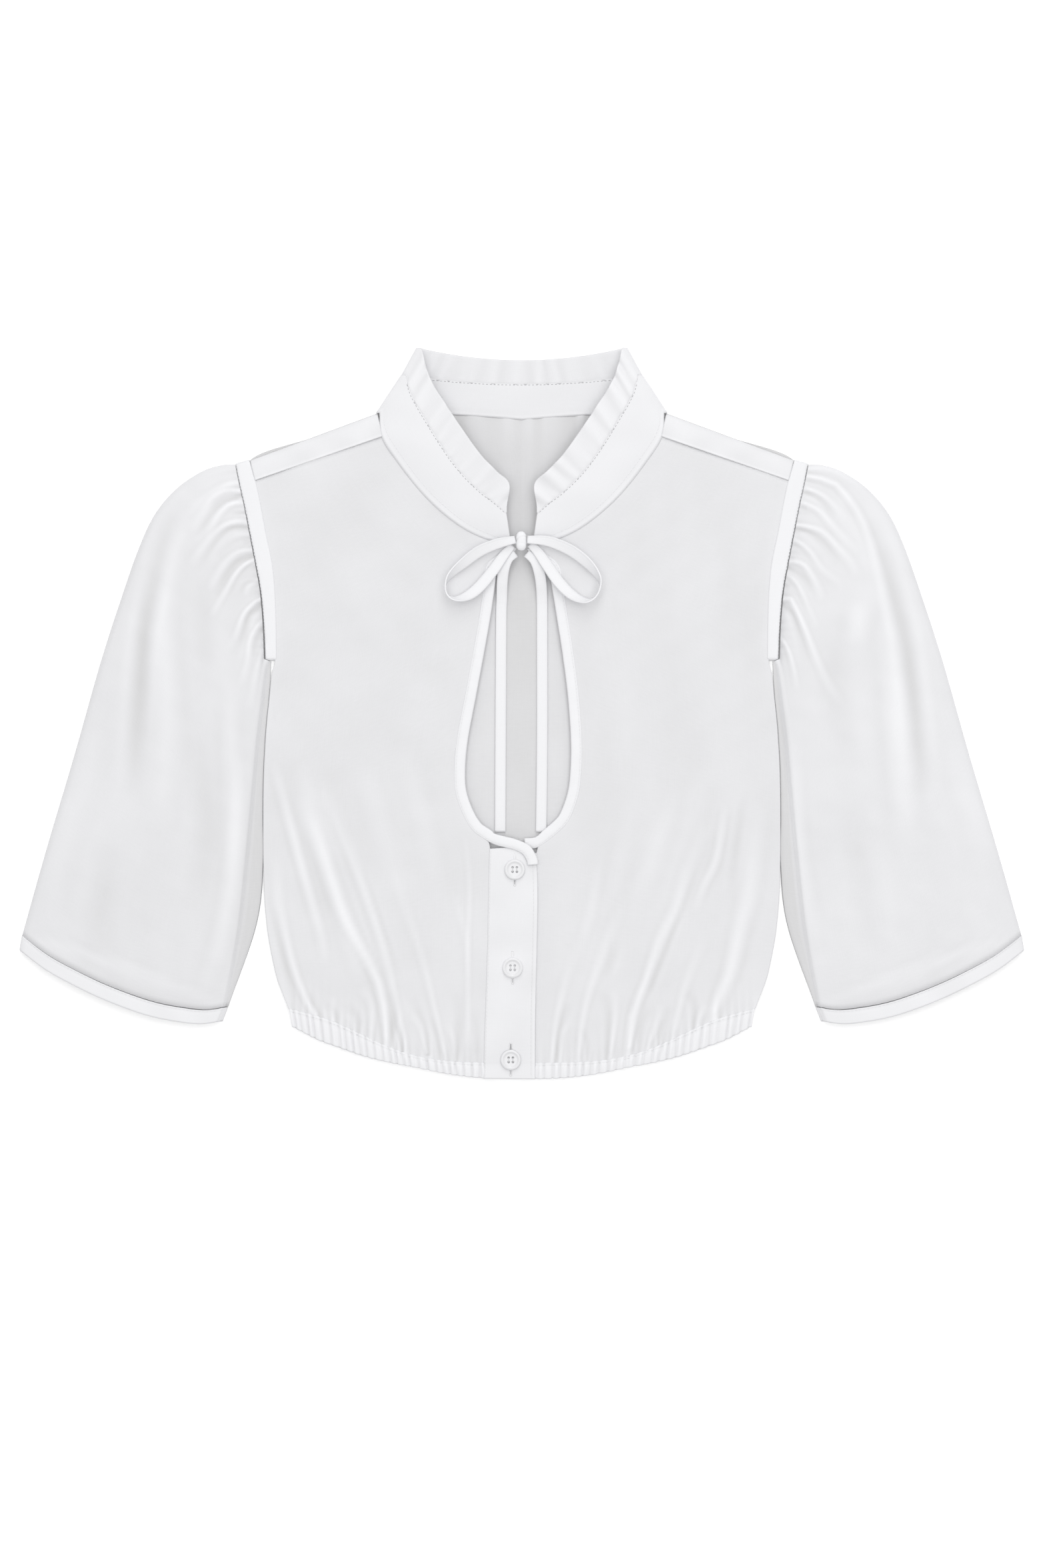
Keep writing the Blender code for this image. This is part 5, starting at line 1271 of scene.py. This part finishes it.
def make_ribbons():
    knot = make_knot()
    for side, _ in SIDES:
        for table, name, node, length, held, rests in (
            (BOW_LOOP[side], f"{side}_bow_loop", f"bow_loop_{side}", 128.0, "folded",
             [f"front_{side}"]),
            (TIE_TAIL[side], f"{side}_tie_tail", f"tie_tail_{side}", 202.0, "laid", ["back"]),
        ):
            grid, tone = ribbon_grid(table, -0.3)
            cut = (10.0, length)
            piece = cloth(name, grid, RIBBON, tone, (cut[1], cut[0]))
            place_cloth(piece, double_voile, node)


def make_knot():
    """Knot of the tie: two turns of ribbon drawn tight round its middle."""
    turns, steps = 48, 40
    theta = spread(turns + 1, 0, 2 * math.pi)[:-1][None, :]
    phi = spread(steps, 0.06, math.pi - 0.06)[:, None]
    ring = np.sin(phi) ** 0.8
    x = ring * np.sign(np.cos(theta)) * np.abs(np.cos(theta)) ** 0.85
    z = ring * np.sign(np.sin(theta)) * np.abs(np.sin(theta)) ** 0.85
    y = np.cos(phi) + 0 * theta
    waist = 1 - 0.14 * np.cos(0.5 * math.pi * y) ** 6
    crease = 0.10 * np.exp(-((y - 0.35 * np.sin(theta + 0.6) - 0.15) / 0.09) ** 2)
    crease += 0.07 * np.exp(-((y + 0.45 - 0.25 * np.sin(theta)) / 0.08) ** 2)
    body = waist - crease
    grid = np.stack([
        KNOT_CENTRE[0] + KNOT_HALF[0] * x * body,
        KNOT_CENTRE[1] + KNOT_HALF[1] * y,
        KNOT_CENTRE[2] + KNOT_HALF[2] * z * body,
    ], 2)
    points = grid.reshape(-1, 3)
    poles = [[KNOT_CENTRE[0], KNOT_CENTRE[1] + side * KNOT_HALF[1] * 1.02, KNOT_CENTRE[2]]
             for side in (1, -1)]
    faces = []
    for i in range(steps - 1):
        for j in range(turns):
            k = (j + 1) % turns
            faces.append((i * turns + j, i * turns + k, (i + 1) * turns + k, (i + 1) * turns + j))
    last = (steps - 1) * turns
    for j in range(turns):
        k = (j + 1) % turns
        faces.append((len(points), k, j))
        faces.append((len(points) + 1, last + j, last + k))
    mesh = bpy.data.meshes.new("tie_knot_cloth")
    mesh.from_pydata((np.concatenate([points, poles]) * MM).tolist(), [], faces)
    piece = bpy.data.objects.new("tie_knot_cloth", mesh)
    bpy.context.scene.collection.objects.link(piece)
    select_only(piece)
    bpy.ops.object.mode_set(mode="EDIT")
    bpy.ops.mesh.select_all(action="SELECT")
    bpy.ops.mesh.normals_make_consistent(inside=False)
    bpy.ops.object.mode_set(mode="OBJECT")
    mesh.polygons.foreach_set("use_smooth", np.ones(len(mesh.polygons), bool))
    # Darker in its creases: painted shade
    values = np.concatenate([(0.92 - 1.6 * crease + 0 * theta).ravel(), [0.8, 0.8]])
    tone_of_layers_and_shade = mesh.attributes.new("tone", "FLOAT", "POINT")
    tone_of_layers_and_shade.data.foreach_set("value", values.astype(np.float32))
    weave = mesh.uv_layers.new(name="weave")
    corner = np.zeros(len(mesh.loops), int)
    mesh.loops.foreach_get("vertex_index", corner)
    flat = np.concatenate([points, poles])[:, 0:2] * MM
    weave.data.foreach_set("uv", flat[corner].ravel())
    mesh.materials.append(double_voile)
    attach(piece, "root")
    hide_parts("tie_knot")
    return piece


# Buttons

def select_only(piece):
    bpy.ops.object.select_all(action="DESELECT")
    piece.select_set(True)
    bpy.context.view_layer.objects.active = piece


def make_buttons():
    for number, (x, y) in enumerate(BUTTON_PLACES, start=1):
        bpy.ops.object.select_all(action="DESELECT")
        bpy.ops.mesh.primitive_cylinder_add(
            vertices=64, radius=BUTTON_RADIUS * MM, depth=BUTTON_THICKNESS * MM,
            end_fill_type="NGON",
            location=(x * MM, y * MM, (BUTTON_SEAT_Z + BUTTON_THICKNESS / 2) * MM),
        )
        button = bpy.context.active_object
        button.name = f"button_{number}_moulded"
        bpy.ops.object.transform_apply(location=True, rotation=True, scale=True)
        top_z = max(v.co.z for v in button.data.vertices)
        bpy.ops.object.mode_set(mode="EDIT")
        bpy.ops.mesh.select_mode(type="FACE")
        bpy.ops.mesh.select_all(action="DESELECT")
        bpy.ops.object.mode_set(mode="OBJECT")
        for face in button.data.polygons:
            face.select = face.normal.z > 0.9
        bpy.ops.object.mode_set(mode="EDIT")
        for inset, lift in BUTTON_FACE:
            bpy.ops.mesh.inset(thickness=inset * MM, depth=0)
            bpy.ops.transform.translate(value=(0, 0, lift * MM))
        bpy.ops.object.mode_set(mode="OBJECT")
        for across in BUTTON_HOLE_PLACES:
            for up in BUTTON_HOLE_PLACES:
                bpy.ops.object.select_all(action="DESELECT")
                bpy.ops.mesh.primitive_cylinder_add(
                    vertices=20, radius=BUTTON_HOLE_RADIUS * MM, depth=8 * MM,
                    location=((x + across) * MM, (y + up) * MM, top_z),
                )
                cutter = bpy.context.active_object
                bpy.ops.object.transform_apply(location=True, rotation=True, scale=True)
                select_only(button)
                hole = button.modifiers.new("hole", "BOOLEAN")
                hole.operation = "DIFFERENCE"
                hole.object = cutter
                bpy.ops.object.modifier_apply(modifier=hole.name)
                bpy.data.objects.remove(cutter)
        select_only(button)
        rounding = button.modifiers.new("rounding", "BEVEL")
        rounding.width = 0.16 * MM
        rounding.segments = 3
        rounding.limit_method = "ANGLE"
        rounding.angle_limit = math.radians(35)
        bpy.ops.object.modifier_apply(modifier=rounding.name)
        bpy.ops.object.shade_smooth_by_angle(angle=math.radians(38))
        button.data.materials.clear()
        button.data.materials.append(button_plastic)
        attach(button, "root")
        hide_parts(f"button_{number}")
        make_button_thread(number, x, y)
        make_buttonhole(number, x, y)


def bars(name, segments, width, height, material):
    """Many small rounded bars in one mesh, each from one point to another."""
    points, faces = [], []
    for start, end in segments:
        start, end = np.array(start, float), np.array(end, float)
        way = end - start
        length = np.linalg.norm(way)
        way /= length
        side = np.cross((0, 0, 1.0), way)
        side /= max(np.linalg.norm(side), 1e-9)
        up = np.cross(way, side)
        base = len(points)
        for along, size in ((0.0, 0.35), (0.22, 1.0), (0.78, 1.0), (1.0, 0.35)):
            for turn in range(6):
                angle = 2 * math.pi * turn / 6
                points.append(
                    start + way * length * along
                    + side * math.cos(angle) * width / 2 * size
                    + up * math.sin(angle) * height / 2 * size
                )
        for ring in range(3):
            for turn in range(6):
                other = (turn + 1) % 6
                a, b = base + 6 * ring + turn, base + 6 * ring + other
                faces.append((a, b, b + 6, a + 6))
        faces.append(tuple(base + turn for turn in range(5, -1, -1)))
        faces.append(tuple(base + 18 + turn for turn in range(6)))
    mesh = bpy.data.meshes.new(name)
    mesh.from_pydata((np.array(points) * MM).tolist(), [], faces)
    piece = bpy.data.objects.new(name, mesh)
    bpy.context.scene.collection.objects.link(piece)
    mesh.polygons.foreach_set("use_smooth", np.ones(len(mesh.polygons), bool))
    mesh.materials.append(material)
    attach(piece, "root")
    select_only(piece)
    bpy.ops.object.mode_set(mode="EDIT")
    bpy.ops.mesh.select_all(action="SELECT")
    bpy.ops.mesh.normals_make_consistent(inside=False)
    bpy.ops.object.mode_set(mode="OBJECT")
    return piece


def make_button_thread(number, x, y):
    z = BUTTON_SEAT_Z + 1.55
    segments = []
    for across in BUTTON_HOLE_PLACES:
        for strand in (-0.28, 0.28):
            segments.append(((x + across + strand, y - 1.7, z), (x + across + strand, y + 1.7, z)))
    bars(f"button_{number}_thread", segments, 0.42, 0.5, thread)


def make_buttonhole(number, x, y):
    """Worked buttonhole: two corded edges and a slit, under and past the button."""
    z = PLACKET_Z + 0.5 * DOUBLE + 0.32
    segments = []
    for up in (-1, 1):
        for across in (-0.75, 0.75):
            segments.append(((x + across, y + up * 7.4, z), (x + across, y + up * 11.4, z)))
        segments.append(((x - 0.9, y + up * 11.5, z), (x + 0.9, y + up * 11.5, z)))
    bars(f"buttonhole_{number}_cord", segments, 0.75, 0.5, thread)
    # Dark bars along the slit: painted shade in the cut
    slit = [((x, y + up * 7.2, z - 0.08), (x, y + up * 11.0, z - 0.08)) for up in (-1, 1)]
    bars(f"buttonhole_{number}_slit", slit, 0.55, 0.24, slit_shade)


# Stitches

def stitches(name, line, length, gap, width, lift, material=None):
    """A row of sewing stitches along a line of points."""
    line = np.asarray(line, float)
    lengths = np.concatenate([[0], np.cumsum(np.linalg.norm(np.diff(line, axis=0), axis=1))])
    segments = []
    place = 0.5 * gap
    while place + length < lengths[-1]:
        ends = []
        for at in (place, place + length):
            point = [np.interp(at, lengths, line[:, i]) for i in range(3)]
            ends.append((point[0], point[1], point[2] + lift))
        segments.append(ends)
        place += length + gap
    return bars(name, segments, width, 0.3, material or thread)


def surface_height(name, line):
    """The line laid on a finished piece, seen from above."""
    piece = bpy.data.objects[name]
    laid = []
    for x, y in line:
        hit, place, _, _ = piece.ray_cast((x * MM, y * MM, 0.06), (0, 0, -1))
        if hit:
            laid.append((x, y, place.z / MM))
    return laid


def make_stitches():
    neck, seam, _ = (collar_line(column) for column in range(3))
    count = len(seam)
    for side, chosen in (("right", slice(2, 124)), ("left", slice(count - 124, count - 2))):
        plan = seam[chosen, 0:2] + (neck - seam)[chosen, 0:2] * 0.045
        laid = surface_height("collar_stand_cloth", plan)
        stitches(f"{side}_ruffle_stitches", laid, 1.5, 1.2, 0.36, 0.02, painted_stitch_shade)
        plan = neck[chosen, 0:2] + (seam - neck)[chosen, 0:2] * 0.13
        laid = surface_height("collar_stand_cloth", plan)
        stitches(f"{side}_neck_stitches", laid, 2.0, 0.7, 0.34, 0.0)
    back = slice(142, count - 142)
    plan = seam[back, 0:2] + (neck - seam)[back, 0:2] * 0.05
    laid = surface_height("collar_stand_cloth", plan)
    stitches("back_ruffle_stitches", laid, 1.5, 1.2, 0.36, 0.02, painted_stitch_shade)
    right_edge = strip_grid(PLACKET, PLACKET_Z, 150, 60)[:, -1, 0:2]
    laid = surface_height("placket_cloth", right_edge[8:] - np.array((2.8, 0)))
    stitches("placket_edge_stitches", laid, 2.1, 0.7, 0.36, 0.0)
    left_edge = strip_grid(PLACKET, PLACKET_Z, 150, 60)[:, 0, 0:2]
    laid = surface_height("placket_cloth", left_edge[2:] + np.array((1.0, 0)))
    stitches("placket_seam_stitches", laid, 2.1, 0.7, 0.32, 0.0)
    for side, sign in SIDES:
        xs = spread(160, HEM_HALF - 1, FRONT_SECTIONS[-1][4 if side == "left" else 2] + 1)
        plan = np.stack([sign * xs, casing_top(xs) - 1.3], 1)
        laid = surface_height(f"{side}_casing_cloth", plan)
        stitches(f"{side}_casing_stitches", laid, 1.9, 0.8, 0.34, 0.02)
        plan = sleeve_hem_line(spread(120, 0.03, 0.97), SLEEVE_FOLD_INSET, SLEEVE_HEM_HEIGHT * 0.9)
        laid = surface_height(f"{side}_sleeve_hem_cloth", plan * np.array((sign, 1.0)))
        stitches(f"{side}_sleeve_hem_stitches", laid, 2.0, 0.8, 0.34, 0.0)
        line = even_line([row[2:4] for row in ARMHOLE], 120) + np.array((0.3, 0.0))
        laid = surface_height(f"{side}_armhole_cloth", line * np.array((sign, 1.0)))
        stitches(f"{side}_armhole_stitches", laid, 1.5, 1.0, 0.4, 0.02, painted_stitch_shade)
        line = binding_lines(side)
        plan = line[4:-4, 0:2] + (line[4:-4, 2:4] - line[4:-4, 0:2]) * 0.18
        laid = surface_height(f"{side}_keyhole_cloth", plan * np.array((sign, 1.0)))
        stitches(f"{side}_keyhole_stitches", laid, 1.9, 0.7, 0.3, 0.0)


# Floor, light and camera

def make_floor():
    bpy.ops.object.select_all(action="DESELECT")
    bpy.ops.mesh.primitive_plane_add(size=9.0, location=(0, 0, 0))
    floor = bpy.context.active_object
    floor.name = "floor"
    paper = plain_material("pale floor", (0.93, 0.93, 0.93), 0.9, 0.1, 2.0)
    shader = paper.node_tree.nodes["Principled BSDF"]
    shader.inputs["Emission Color"].default_value = (1.0, 1.0, 1.0, 1.0)
    shader.inputs["Emission Strength"].default_value = FLOOR_GLOW
    floor.data.materials.append(paper)


def area_light(name, place, target, size, power):
    lamp = bpy.data.lights.new(name, "AREA")
    lamp.shape = "SQUARE"
    lamp.size = size
    lamp.energy = power
    lamp_object = bpy.data.objects.new(name, lamp)
    bpy.context.scene.collection.objects.link(lamp_object)
    lamp_object.location = place
    way = bpy.data.objects["floor"].location.copy()
    way.x, way.y, way.z = (t - p for t, p in zip(target, place))
    lamp_object.rotation_euler = way.to_track_quat("-Z", "Y").to_euler()


def make_light():
    scene = bpy.context.scene
    scene.view_settings.view_transform = "Standard"
    world = bpy.data.worlds.new("white studio")
    scene.world = world
    world.use_nodes = True
    world.node_tree.nodes["Background"].inputs["Color"].default_value = (1.0, 1.0, 1.0, 1.0)
    world.node_tree.nodes["Background"].inputs["Strength"].default_value = WORLD_LIGHT
    area_light("overhead softbox", (0.1, 0.3, 2.8), (0, 0, 0), 3.0, 42.0)
    area_light("key softbox", (0.2, 2.0, 1.5), (0, 0, 0), 1.2, 10.0)


def make_camera():
    camera = bpy.data.cameras.new("camera")
    camera.sensor_fit = "VERTICAL"
    camera.sensor_height = SENSOR_HEIGHT
    camera.lens = LENS
    height = PHOTO_SIZE[1] * PIXEL * MM
    distance = height * camera.lens / camera.sensor_height
    holder = bpy.data.objects.new("camera", camera)
    bpy.context.scene.collection.objects.link(holder)
    holder.location = (
        (PHOTO_SIZE[0] / 2 - ORIGIN_PIXEL[0]) * PIXEL * MM,
        (ORIGIN_PIXEL[1] - PHOTO_SIZE[1] / 2) * PIXEL * MM,
        distance,
    )
    camera.clip_end = 20.0
    bpy.context.scene.camera = holder


make_floor()
make_light()
make_camera()
make_back()
make_fronts()
make_shoulder_bands()
make_armhole_bindings()
make_sleeves()
make_sleeve_hems()
make_collar()
make_bindings()
make_centre_front()
make_casings()
make_ribbons()
make_buttons()
make_stitches()
